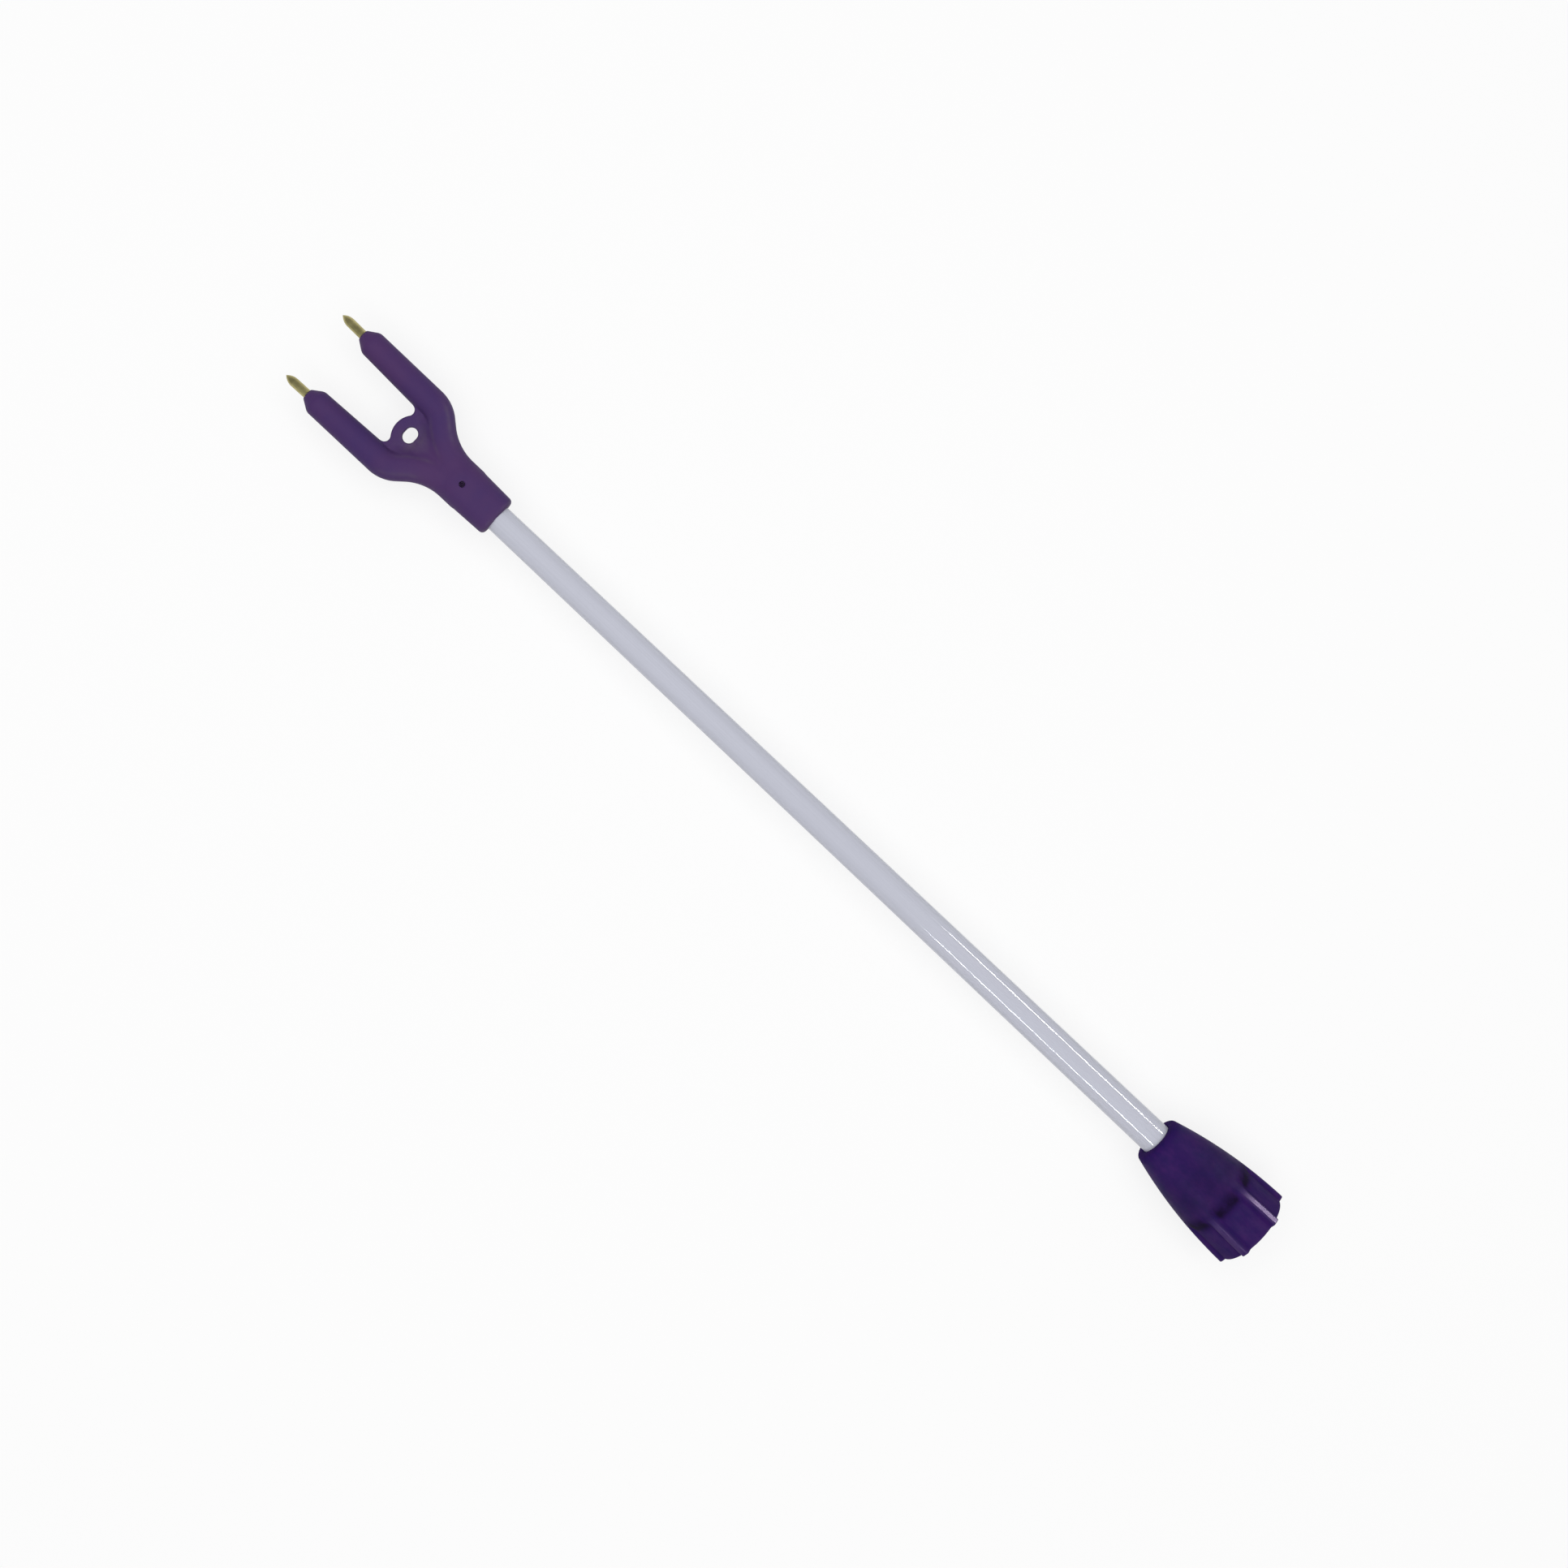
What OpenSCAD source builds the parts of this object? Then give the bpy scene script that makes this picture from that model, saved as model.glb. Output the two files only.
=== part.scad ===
// Replacement shaft of an electric livestock prod, lying along X on its flat side.
// The origin is the centre of the coupling nut's mouth. +X runs to the fork, +Z is up.

/* [Shaft tube] */
// Length of the hollow glass-fibre tube
tube_length = 441; // [250:1:900]
// Outer diameter at the coupling end
tube_base_d = 14.8; // [12:0.1:18]
// Outer diameter at the fork end
tube_tip_d = 12; // [10:0.1:16]
// Diameter of the bore that the leads run through
tube_bore_d = 8.4; // [7:0.1:9]

/* [Fork head] */
// Depth to which the tube is bonded into the fork's socket
socket_depth = 25.8; // [18:0.1:40]
// Width of the socket where it meets the arms
socket_width = 20.4; // [18:0.1:26]
// Width of the socket at its mouth
socket_mouth_width = 18.9; // [17:0.1:24]
// Thickness of the socket where it meets the arms
socket_thickness = 16; // [15:0.1:20]
// Rounding of the edge round the mouth
socket_round = 2; // [0.5:0.1:3]
// Distance between the two tines at their ends, centre to centre
tine_spread = 34.1; // [30:0.1:50]
// Length of a tine, from the end of its bend to the end of its nose
tine_length = 40.1; // [30:0.1:60]
// Diameter of a tine at its root, and of the arm that carries it
tine_root_d = 12.8; // [11:0.1:15]
// Diameter of a tine where its nose begins
tine_tip_d = 11.5; // [10:0.1:14]
// Length of the conical nose
nose_length = 4.9; // [3:0.1:8]
// Diameter at the end of the nose
nose_d = 4.8; // [4.6:0.1:8]
// Outward lean of each tine, in degrees
tine_splay = 1.1; // [0:0.1:3]
// Turn of each arm where it leaves the socket, in degrees
arm_bend = 41; // [30:1:55]
// Radius of an arm's first bend, at its centre line
arm_root_radius = 29; // [22:0.5:40]
// Radius of an arm's second bend, at its centre line
arm_tip_radius = 11; // [9:0.5:20]
// Distance from the shaft's axis at which an arm leaves the socket
arm_offset = 3.8; // [3:0.1:6]
// Diameter of the hole for the locking pin
pin_hole_d = 2.6; // [2:0.1:3]

/* [Web and eye] */
// Thickness of the web between the arms
web_thickness = 4; // [3:0.1:8]
// Radius of the rounded tab at the web's free edge
tab_radius = 10; // [8:0.1:14]
// How far the tab stands past the end of the bends
tab_reach = 4.9; // [2:0.1:9]
// Width of the hanging eye, across the fork
eye_width = 7.2; // [6:0.1:9]
// Length of the hanging eye, along the shaft
eye_length = 5.6; // [4:0.1:7]
// Distance from the tab's free edge to the eye's centre
eye_setback = 7.6; // [6:0.1:10]
// Radius of the fillet between the tab and each tine
crotch_radius = 2.6; // [1.5:0.1:4]

/* [Electrodes] */
// Diameter of an electrode pin
electrode_d = 4.1; // [3:0.1:4.4]
// Length that stands out of the nose
electrode_exposed = 11.5; // [8:0.1:20]
// Length of the bullet-shaped point
electrode_point = 4.6; // [3:0.1:6]
// Length moulded into the tine
electrode_seat = 23; // [18:0.1:25]

/* [Coupling nut] */
// Length of the nut
nut_length = 60; // [56:0.5:80]
// Diameter over the ribs at the mouth
nut_mouth_d = 40; // [38:0.1:46]
// Diameter of the panels between the ribs
panel_d = 35.5; // [34.5:0.1:37]
// Length of the panels
panel_length = 19.2; // [12:0.1:20]
// How far a panel sinks from the mouth to its ramp
panel_fall = 0.5; // [0:0.1:0.8]
// Length of the ramp at the end of a panel, for each millimetre of its rise
panel_ramp = 3.2; // [1:0.1:4]
// Radius of the swelling outline
nut_swell_radius = 225; // [200:1:320]
// Number of grip ribs
rib_count = 6; // [4:1:10]
// Width of a rib at its foot
rib_foot = 6.6; // [3:0.1:8]
// Width of a rib at its crest
rib_crest = 2; // [0.6:0.1:4]
// Diameter of the threaded bore
thread_d = 30; // [28:0.1:31]
// Length of the threaded bore
thread_length = 14; // [10:0.5:15]
// Clearance round the tube at the nut's small end
nut_clearance = 0.85; // [0.4:0.05:1.2]

/* [Contact plug] */
// Diameter of the flange that the nut draws on
flange_d = 28; // [26:0.1:28]
// Thickness of the flange
flange_thickness = 4; // [3:0.1:6]
// Thickness of the rubber face seal
seal_thickness = 2.1; // [1.5:0.1:2.5]
// Thickness of the slip washer behind the flange
washer_thickness = 0.8; // [0.5:0.1:1.5]
// Distance of each contact from the shaft's axis
contact_offset = 4.9; // [4.5:0.1:5]
// How far a contact stands out of the plug's face
contact_proud = 2.7; // [2:0.1:3]
// Travel of a sprung contact
contact_travel = 1.6; // [1:0.1:1.8]
// Turns of each contact spring
spring_turns = 6; // [4:1:7]

/* [Leads] */
// Diameter over a lead's insulation
lead_d = 2.2; // [1.6:0.1:2.4]
// Diameter of a lead's copper conductor
conductor_d = 0.9; // [0.5:0.1:1]
// Distance of each lead from the shaft's axis inside the tube
lead_offset = 2; // [1.6:0.1:2.4]

/* [Hidden] */
$fn = 64;
bond_gap = 0.05;
slide_gap = 0.2;
face_gap = 0.1;
lead_gap = 0.4;
sleeve_wall = 0.04;
sleeve_length = 0.6;

// Stations along the shaft
plug_face_x = thread_length + 3.5;
flange_back_x = plug_face_x + flange_thickness;
plug_floor_x = plug_face_x + 13.5;
wire_room = 8;
cup_depth = 13;
tube_x = plug_floor_x + wire_room;
cup_end_x = tube_x + cup_depth;
tube_end_x = tube_x + tube_length;
socket_x = tube_end_x - socket_depth;
socket_root_x = socket_x + 22.8;
pin_x = socket_x + 20.1;

// Centre line of an arm and its tine
arm_x = socket_x + 23.8;
tine_y = tine_spread / 2 - tine_length * sin(tine_splay);
arm_turn_back = arm_bend - tine_splay;
bends_rise = arm_root_radius * (1 - cos(arm_bend))
    + arm_tip_radius * (cos(tine_splay) - cos(arm_bend));
bends_run = arm_root_radius * sin(arm_bend)
    + arm_tip_radius * (sin(arm_bend) - sin(tine_splay));
arm_straight = max(0.1, (tine_y - arm_offset - bends_rise) / sin(arm_bend));
tine_x = arm_x + bends_run + arm_straight * cos(arm_bend);
shank_length = tine_length - nose_length;

// Web, tab and eye
tab_tip_x = tine_x + tab_reach;
tab_x = tab_tip_x - tab_radius;
eye_x = tab_tip_x - eye_setback;
tine_inner_y = tine_y + tab_reach * sin(tine_splay) - tine_root_d / 2;
fillet_y = tine_inner_y - crotch_radius;
fillet_x = tab_x + sqrt(pow(tab_radius + crotch_radius, 2) - pow(fillet_y, 2));
fillet_share = tab_radius / (tab_radius + crotch_radius);
ramp_end_x = eye_x - eye_length / 2 - 2.2;

// Stations along a tine, from the end of its bend
ferrule_start = tine_length - electrode_seat - 10.5;
ferrule_end = tine_length - electrode_seat - 0.2;
ferrule_split = ferrule_start + 5.2;
electrode_tail = ferrule_split + 0.3;
ferrule_d = 3.8;
tail_d = 2;

// Route of a lead
solder_cup = 3;
lead_x = plug_floor_x + solder_cup + 0.3;
lead_stub = 1;
entry_bend = 50;
entry_radius = (contact_offset - lead_offset) / (2 * (1 - cos(entry_bend)));
entry_end_x = lead_x + lead_stub + 2 * entry_radius * sin(entry_bend);
lead_straight = (tine_y - lead_offset - bends_rise) / sin(arm_bend);
lead_bend_x = tine_x - bends_run - lead_straight * cos(arm_bend);
lead_end = ferrule_start - 0.3;
conductor_reach = 4.8;
route_in_tube = [
    [0, lead_stub],
    [entry_radius, -entry_bend],
    [entry_radius, entry_bend],
    [0, lead_bend_x - entry_end_x]];
route_in_fork = [
    [arm_root_radius, arm_bend],
    [0, lead_straight],
    [arm_tip_radius, -arm_turn_back]];

// Coupling nut
nut_shoulder_x = flange_back_x + face_gap + washer_thickness + slide_gap;
nut_small_bore = tube_base_d / 2 + nut_clearance;
nut_land_x = nut_length - 5;
relief_r = thread_d / 2 + 0.4;
throat_r = flange_d / 2 - 1.5;
neck_r = tube_base_d / 2 + 2.4;
crest_x = 2.33;

// Contact plug
collar_r = flange_d / 2 - 3.2;
cup_r = tube_base_d / 2 + 1.6;
room_r = tube_base_d / 2 - 1;
contact_r = 1.3;
contact_shoulder_r = 2;
contact_bore_r = 2.2;
lip = 1.9;
shoulder_x = plug_face_x + lip + slide_gap;
shoulder_length = 1.2;
terminal_x = plug_floor_x - 3;
spring_x = shoulder_x + shoulder_length + face_gap;
spring_length = terminal_x - face_gap - spring_x;
spring_wire = 0.44;
spring_mean_r = 1.6;
spring_self_gap = spring_length / spring_turns - spring_wire;
echo(overall_length = tine_x + tine_length * cos(tine_splay) + electrode_exposed);
echo(nut_travel = socket_x - nut_length - 1);
echo(spring_self_gap = spring_self_gap);

// Carries a round section along a flat route of straight runs and bends.
// A move is [0, length] or [radius, angle], with a positive angle turning to +Y.
// A short sleeve over each joint ties the runs into one body.
module along(moves, d, i = 0) {
    if (i < len(moves)) {
        radius = moves[i][0];
        size = moves[i][1];
        if (i > 0) {
            sleeve(d);
        }
        if (radius == 0) {
            rotate([0, 90, 0]) cylinder(d = d, h = size);
            translate([size, 0, 0]) along(moves, d, i + 1);
        } else {
            side = size > 0 ? 1 : -1;
            turn = abs(size);
            translate([0, side * radius, 0])
                rotate([0, 0, side > 0 ? -90 : 90 - turn])
                rotate_extrude(angle = turn)
                translate([radius, 0]) circle(d = d);
            translate([radius * sin(turn), side * radius * (1 - cos(turn)), 0])
                rotate([0, 0, size]) along(moves, d, i + 1);
        }
    }
}

module sleeve(d) {
    rotate([0, 90, 0]) cylinder(d = d + 2 * sleeve_wall, h = sleeve_length, center = true);
}

// Turns a body made round Z so that it lies along X.
module lay() {
    rotate([0, 90, 0]) children();
}

// Places a body at the root of the +Y tine, with +X along the tine.
module at_tine() {
    translate([tine_x, tine_y, 0]) rotate([0, 0, tine_splay]) children();
}

module right_side() {
    mirror([0, 1, 0]) children();
}

module stadium(w, h) {
    square([w - h, h], center = true);
    for (s = [-1, 1]) {
        translate([s * (w - h) / 2, 0]) circle(d = h);
    }
}

module slice(x, w, h) {
    translate([x, 0, 0]) rotate([90, 0, 90]) linear_extrude(0.02) stadium(w, h, $fn = 40);
}

// Socket with its rounded mouth, falling away to the web as a ramp.
module socket_body() {
    mouth_h = socket_thickness - 0.8;
    hull() {
        for (a = [0 : 30 : 90]) {
            inset = 2 * socket_round * (1 - sin(a));
            slice(socket_x + socket_round * (1 - cos(a)),
                socket_mouth_width - inset, mouth_h - inset);
        }
        slice(socket_root_x, socket_width, socket_thickness);
        slice(ramp_end_x, 8, web_thickness + 0.4);
    }
}

module arm() {
    translate([arm_x - 6, arm_offset, 0]) along([
        [0, 6],
        [arm_root_radius, arm_bend],
        [0, arm_straight],
        [arm_tip_radius, -arm_turn_back]], tine_root_d);
    at_tine() {
        sleeve(tine_root_d);
        lay() cylinder(d1 = tine_root_d, d2 = tine_tip_d, h = shank_length);
        translate([shank_length, 0, 0]) lay() cylinder(d1 = tine_tip_d, d2 = nose_d, h = nose_length);
    }
}

module web_outline() {
    difference() {
        union() {
            translate([tab_x, 0]) circle(r = tab_radius);
            for (s = [-1, 1]) {
                polygon([
                    [arm_x + 6, 0],
                    [arm_x + 15, s * (arm_offset + 3.5)],
                    [arm_x + 25, s * (tine_y - 4)],
                    [tine_x, s * tine_y],
                    [fillet_x, s * tine_y],
                    [fillet_x, s * fillet_y],
                    [tab_x + (fillet_x - tab_x) * fillet_share, s * fillet_y * fillet_share],
                    [tab_x, 0]]);
            }
        }
        for (s = [-1, 1]) {
            translate([fillet_x, s * fillet_y]) circle(r = crotch_radius);
        }
        translate([eye_x, 0]) rotate(90) stadium(eye_width, eye_length);
    }
}

// Outline of an electrode from its seat to its point, grown by a clearance.
module electrode_profile(grow) {
    r = electrode_d / 2 + grow;
    groove = tine_length - electrode_seat / 2;
    seat = tine_length - electrode_seat;
    shoulder = tine_length + electrode_exposed - electrode_point;
    steps = 8;
    arc_r = (pow(electrode_point, 2) + pow(r, 2)) / (2 * r);
    point = [for (i = [0 : steps])
        let (h = electrode_point * i / steps)
        [i == steps ? 0 : r - arc_r + sqrt(pow(arc_r, 2) - pow(h, 2)), shoulder + h]];
    body = [
        [0, seat],
        [r, seat],
        [r, groove - 1.5],
        [r - 0.5, groove - 1],
        [r - 0.5, groove + 1],
        [r, groove + 1.5]];
    polygon(concat(body, point));
}

module electrode() {
    at_tine() lay() {
        rotate_extrude() electrode_profile(0);
        translate([0, 0, electrode_tail])
            cylinder(d = tail_d, h = tine_length - electrode_seat - electrode_tail + 1);
    }
}

module tine_cavity() {
    at_tine() lay() {
        rotate_extrude() electrode_profile(bond_gap);
        translate([0, 0, ferrule_start - 0.4])
            cylinder(d = ferrule_d + 2 * bond_gap, h = tine_length - electrode_seat - ferrule_start + 0.9);
    }
}

module ferrule() {
    at_tine() lay() difference() {
        translate([0, 0, ferrule_start]) cylinder(d = ferrule_d, h = ferrule_end - ferrule_start);
        translate([0, 0, ferrule_start - 1])
            cylinder(d = conductor_d + 2 * bond_gap, h = ferrule_end - ferrule_start);
        translate([0, 0, ferrule_split])
            cylinder(d = tail_d + 2 * bond_gap, h = ferrule_end - ferrule_split + 1);
    }
}

// Passage for a lead from the end of the tube to the ferrule.
module lead_passage() {
    translate([lead_bend_x, lead_offset, 0])
        along(concat(route_in_fork, [[0, ferrule_start]]), lead_d + 2 * lead_gap);
}

module fork_head() {
    color([0.29, 0.19, 0.42]) difference() {
        union() {
            socket_body();
            arm();
            right_side() arm();
            translate([0, 0, -web_thickness / 2]) linear_extrude(web_thickness) web_outline();
        }
        translate([socket_x - 1, 0, 0]) lay() cylinder(d = tube_tip_d + 2 * bond_gap, h = socket_depth + 1 + face_gap);
        translate([pin_x, 0, tube_bore_d / 2]) cylinder(d = pin_hole_d, h = socket_thickness);
        lead_passage();
        right_side() lead_passage();
        tine_cavity();
        right_side() tine_cavity();
    }
}

// Slotted spring pin, driven in flush with the tube's bore.
module locking_pin() {
    pin_r = pin_hole_d / 2 - bond_gap;
    foot = tube_bore_d / 2 + face_gap;
    length = socket_thickness / 2 - foot - 1;
    color([0.16, 0.16, 0.17]) translate([pin_x, 0, foot]) difference() {
        cylinder(r = pin_r, h = length);
        translate([0, 0, -1]) cylinder(r = pin_r - 0.55, h = length + 2);
        translate([0, -0.2, -1]) cube([pin_r + 1, 0.4, length + 2]);
    }
}

module shaft_tube() {
    parallel_end = nut_length - tube_x;
    color([0.8, 0.8, 0.86]) difference() {
        translate([tube_x, 0, 0]) lay() rotate_extrude() polygon([
            [tube_bore_d / 2, 0],
            [tube_base_d / 2, 0],
            [tube_base_d / 2, parallel_end],
            [tube_tip_d / 2, tube_length - socket_depth],
            [tube_tip_d / 2, tube_length],
            [tube_bore_d / 2, tube_length]]);
        translate([pin_x, 0, tube_bore_d / 4]) cylinder(d = pin_hole_d, h = tube_tip_d);
    }
}

module lead() {
    route = concat(route_in_tube, route_in_fork, [[0, lead_end]]);
    color([0.55, 0.08, 0.08]) difference() {
        translate([lead_x, contact_offset, 0]) along(route, lead_d);
        conductor_route(conductor_d + 4 * bond_gap);
    }
}

module conductor_route(d) {
    bare = solder_cup + 0.1;
    first = [[0, bare + lead_stub]];
    bends = [for (i = [1 : 3]) route_in_tube[i]];
    last = [[0, ferrule_start + conductor_reach]];
    translate([lead_x - bare, contact_offset, 0]) along(concat(first, bends, route_in_fork, last), d);
}

module conductor() {
    color([0.72, 0.43, 0.25]) conductor_route(conductor_d);
}

module contact_plug() {
    room_x = plug_floor_x;
    color([0.07, 0.07, 0.08]) lay() difference() {
        rotate_extrude() polygon([
            [0, plug_face_x],
            [flange_d / 2, plug_face_x],
            [flange_d / 2, flange_back_x],
            [collar_r, flange_back_x],
            [collar_r, plug_floor_x - 1],
            [cup_r, plug_floor_x + 1],
            [cup_r, cup_end_x],
            [0, cup_end_x]]);
        translate([0, 0, room_x]) cylinder(r = room_r, h = wire_room + 1);
        translate([0, 0, tube_x - face_gap]) cylinder(d = tube_base_d + 2 * bond_gap, h = cup_depth + 1);
        for (s = [-1, 1]) {
            translate([0, s * contact_offset, plug_face_x - 1]) cylinder(r = contact_r + 0.1, h = wire_room);
            translate([0, s * contact_offset, plug_face_x + lip])
                cylinder(r = contact_bore_r, h = plug_floor_x - plug_face_x - lip + 1);
        }
    }
}

module seal_ring() {
    color([0.03, 0.03, 0.03]) translate([plug_face_x - seal_thickness, 0, 0]) lay() difference() {
        cylinder(d = flange_d, h = seal_thickness);
        translate([0, 0, -1]) cylinder(d = flange_d - 9, h = seal_thickness + 2);
    }
}

module slip_washer() {
    color([0.85, 0.85, 0.8]) translate([flange_back_x + face_gap, 0, 0]) lay() difference() {
        cylinder(d = flange_d, h = washer_thickness);
        translate([0, 0, -1]) cylinder(r = collar_r + 0.3, h = washer_thickness + 2);
    }
}

// Radius of the nut's swelling outline at a height above its mouth.
function swell_r(z) = nut_mouth_d / 2 - nut_swell_radius
    + sqrt(pow(nut_swell_radius, 2) - pow(z + crest_x, 2));

module nut_body() {
    steps = 15;
    top = nut_length - 1.2;
    side = [for (i = [0 : steps]) [swell_r(top * i / steps), top * i / steps]];
    rotate_extrude() polygon(concat([[0, 0]], side, [[swell_r(nut_length) - 0.9, nut_length], [0, nut_length]]));
}

// Ring that sinks the panels, less the ribs that stay between them.
module panel_cut() {
    panel_r = panel_d / 2;
    difference() {
        rotate_extrude() polygon([
            [panel_r, -1],
            [nut_mouth_d, -1],
            [nut_mouth_d, panel_length + panel_ramp * (nut_mouth_d - panel_r + panel_fall)],
            [panel_r - panel_fall, panel_length],
            [panel_r, 0]]);
        for (i = [0 : rib_count - 1]) {
            rotate(90 + i * 360 / rib_count) translate([0, 0, -2]) linear_extrude(nut_length) polygon([
                [panel_r - 2, -rib_foot / 2],
                [panel_r, -rib_foot / 2],
                [nut_mouth_d / 2, -rib_crest / 2],
                [nut_mouth_d + 1, -rib_crest / 2],
                [nut_mouth_d + 1, rib_crest / 2],
                [nut_mouth_d / 2, rib_crest / 2],
                [panel_r, rib_foot / 2],
                [panel_r - 2, rib_foot / 2]]);
        }
    }
}

module coupling_nut() {
    color([0.2, 0.13, 0.4]) lay() difference() {
        nut_body();
        panel_cut();
        rotate_extrude() polygon([
            [0, -1],
            [thread_d / 2, -1],
            [thread_d / 2, thread_length],
            [relief_r, thread_length],
            [relief_r, nut_shoulder_x],
            [throat_r, nut_shoulder_x],
            [neck_r, nut_land_x],
            [nut_small_bore, nut_land_x],
            [nut_small_bore, nut_length + 1],
            [0, nut_length + 1]]);
    }
}

module contact_plunger() {
    tip_x = plug_face_x - contact_proud;
    color([0.7, 0.55, 0.25]) translate([0, contact_offset, 0]) lay() {
        translate([0, 0, tip_x]) rotate_extrude() polygon([
            [0, 0],
            [contact_r - 0.5, 0],
            [contact_r, 0.5],
            [contact_r, shoulder_x - tip_x],
            [contact_shoulder_r, shoulder_x - tip_x],
            [contact_shoulder_r, shoulder_x + shoulder_length - tip_x],
            [1, shoulder_x + shoulder_length - tip_x],
            [1, shoulder_x + shoulder_length + 2.2 - tip_x],
            [0, shoulder_x + shoulder_length + 2.2 - tip_x]]);
    }
}

module contact_spring() {
    sides = 6;
    rings = 8 * spring_turns;
    wire_r = spring_wire / 2;
    rise = spring_length - spring_wire;
    points = [for (i = [0 : rings], k = [0 : sides - 1])
        let (a = 360 * spring_turns * i / rings, b = 360 * k / sides,
            r = spring_mean_r + wire_r * cos(b))
        [r * cos(a), r * sin(a), wire_r + rise * i / rings + wire_r * sin(b)]];
    walls = [for (i = [0 : rings - 1], k = [0 : sides - 1])
        let (a = i * sides + k, b = i * sides + (k + 1) % sides)
        [a, a + sides, b + sides, b]];
    first = [for (k = [0 : sides - 1]) k];
    last = [for (k = [sides - 1 : -1 : 0]) rings * sides + k];
    color([0.7, 0.7, 0.72]) translate([spring_x, contact_offset, 0]) lay()
        polyhedron(points = points, faces = concat(walls, [first, last]));
}

// Brass cap that closes a contact's bore, with a solder cup for the lead.
module contact_terminal() {
    cup_r_out = 1;
    color([0.7, 0.55, 0.25]) translate([terminal_x, contact_offset, 0]) lay() difference() {
        union() {
            cylinder(r = contact_bore_r - bond_gap, h = plug_floor_x - terminal_x);
            cylinder(r = cup_r_out, h = plug_floor_x - terminal_x + solder_cup);
        }
        translate([0, 0, plug_floor_x - terminal_x])
            cylinder(d = conductor_d + 2 * bond_gap, h = solder_cup + 1);
    }
}

fork_head();
color([0.6, 0.5, 0.25]) electrode();  // electrode_left
color([0.6, 0.5, 0.25]) right_side() electrode();  // electrode_right
color([0.7, 0.7, 0.72]) ferrule();  // ferrule_left
color([0.7, 0.7, 0.72]) right_side() ferrule();  // ferrule_right
locking_pin();
shaft_tube();
lead();  // lead_left
right_side() lead();  // lead_right
conductor();  // conductor_left
right_side() conductor();  // conductor_right
contact_plug();
seal_ring();
slip_washer();
coupling_nut();
contact_plunger();  // contact_plunger_left
right_side() contact_plunger();  // contact_plunger_right
contact_spring();  // contact_spring_left
right_side() contact_spring();  // contact_spring_right
contact_terminal();  // contact_terminal_left
right_side() contact_terminal();  // contact_terminal_right
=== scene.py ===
"""Looks of a replaceable livestock prod shaft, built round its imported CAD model.

The fork head is one smooth moulding made from a field of rounded solids. The coupling nut, the
shaft tube, the electrodes and the sprung contacts are surfaces of two parameters. The other
pieces keep their CAD meshes and get finishes made from nodes.
"""

import math

import bpy
import numpy as np
from bpy.props import FloatProperty, FloatVectorProperty, IntProperty, PointerProperty
from bpy.types import Operator, Panel, PropertyGroup
from mathutils import Matrix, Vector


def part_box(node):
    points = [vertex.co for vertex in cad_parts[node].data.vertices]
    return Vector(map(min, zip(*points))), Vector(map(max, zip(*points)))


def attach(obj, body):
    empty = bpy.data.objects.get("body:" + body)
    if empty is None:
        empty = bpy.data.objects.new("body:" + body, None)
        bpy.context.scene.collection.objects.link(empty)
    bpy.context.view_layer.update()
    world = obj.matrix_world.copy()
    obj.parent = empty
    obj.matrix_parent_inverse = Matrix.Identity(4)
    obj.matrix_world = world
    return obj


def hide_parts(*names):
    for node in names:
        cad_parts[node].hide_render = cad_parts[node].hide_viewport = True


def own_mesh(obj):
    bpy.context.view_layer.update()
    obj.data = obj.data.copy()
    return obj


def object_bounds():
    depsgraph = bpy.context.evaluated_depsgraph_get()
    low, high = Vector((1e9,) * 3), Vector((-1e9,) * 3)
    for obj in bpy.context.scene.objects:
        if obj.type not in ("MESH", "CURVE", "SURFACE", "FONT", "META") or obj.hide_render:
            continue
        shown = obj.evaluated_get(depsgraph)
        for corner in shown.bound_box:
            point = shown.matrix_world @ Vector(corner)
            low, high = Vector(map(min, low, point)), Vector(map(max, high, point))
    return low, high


bl_info = {
    "name": "Prod shaft looks",
    "version": (1, 0, 0),
    "blender": (4, 5, 0),
    "location": "View3D > Sidebar > Prod shaft",
    "description": "Builds the moulded, turned and drawn pieces of a livestock prod shaft",
    "category": "Object",
}

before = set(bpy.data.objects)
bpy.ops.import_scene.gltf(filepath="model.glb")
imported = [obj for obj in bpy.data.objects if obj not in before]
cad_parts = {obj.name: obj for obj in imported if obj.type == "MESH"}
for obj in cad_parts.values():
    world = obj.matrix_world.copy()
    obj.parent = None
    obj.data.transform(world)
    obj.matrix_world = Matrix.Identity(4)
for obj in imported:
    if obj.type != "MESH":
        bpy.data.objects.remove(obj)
CAD_BOX = [list(corner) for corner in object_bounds()]
MM = 0.001
SIDES = (("left", 1.0), ("right", -1.0))


def length(name, description, millimetres):
    """A length setting, kept in metres and given here in millimetres."""
    return FloatProperty(name=name, description=description, default=millimetres * MM,
                         min=0.0, unit="LENGTH", precision=5)


def colour(name, description, value):
    """A colour setting in linear light."""
    return FloatVectorProperty(name=name, description=description, default=value, size=3,
                               min=0.0, max=1.0, subtype="COLOR")


# ---------------------------------------------------------------- settings


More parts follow.
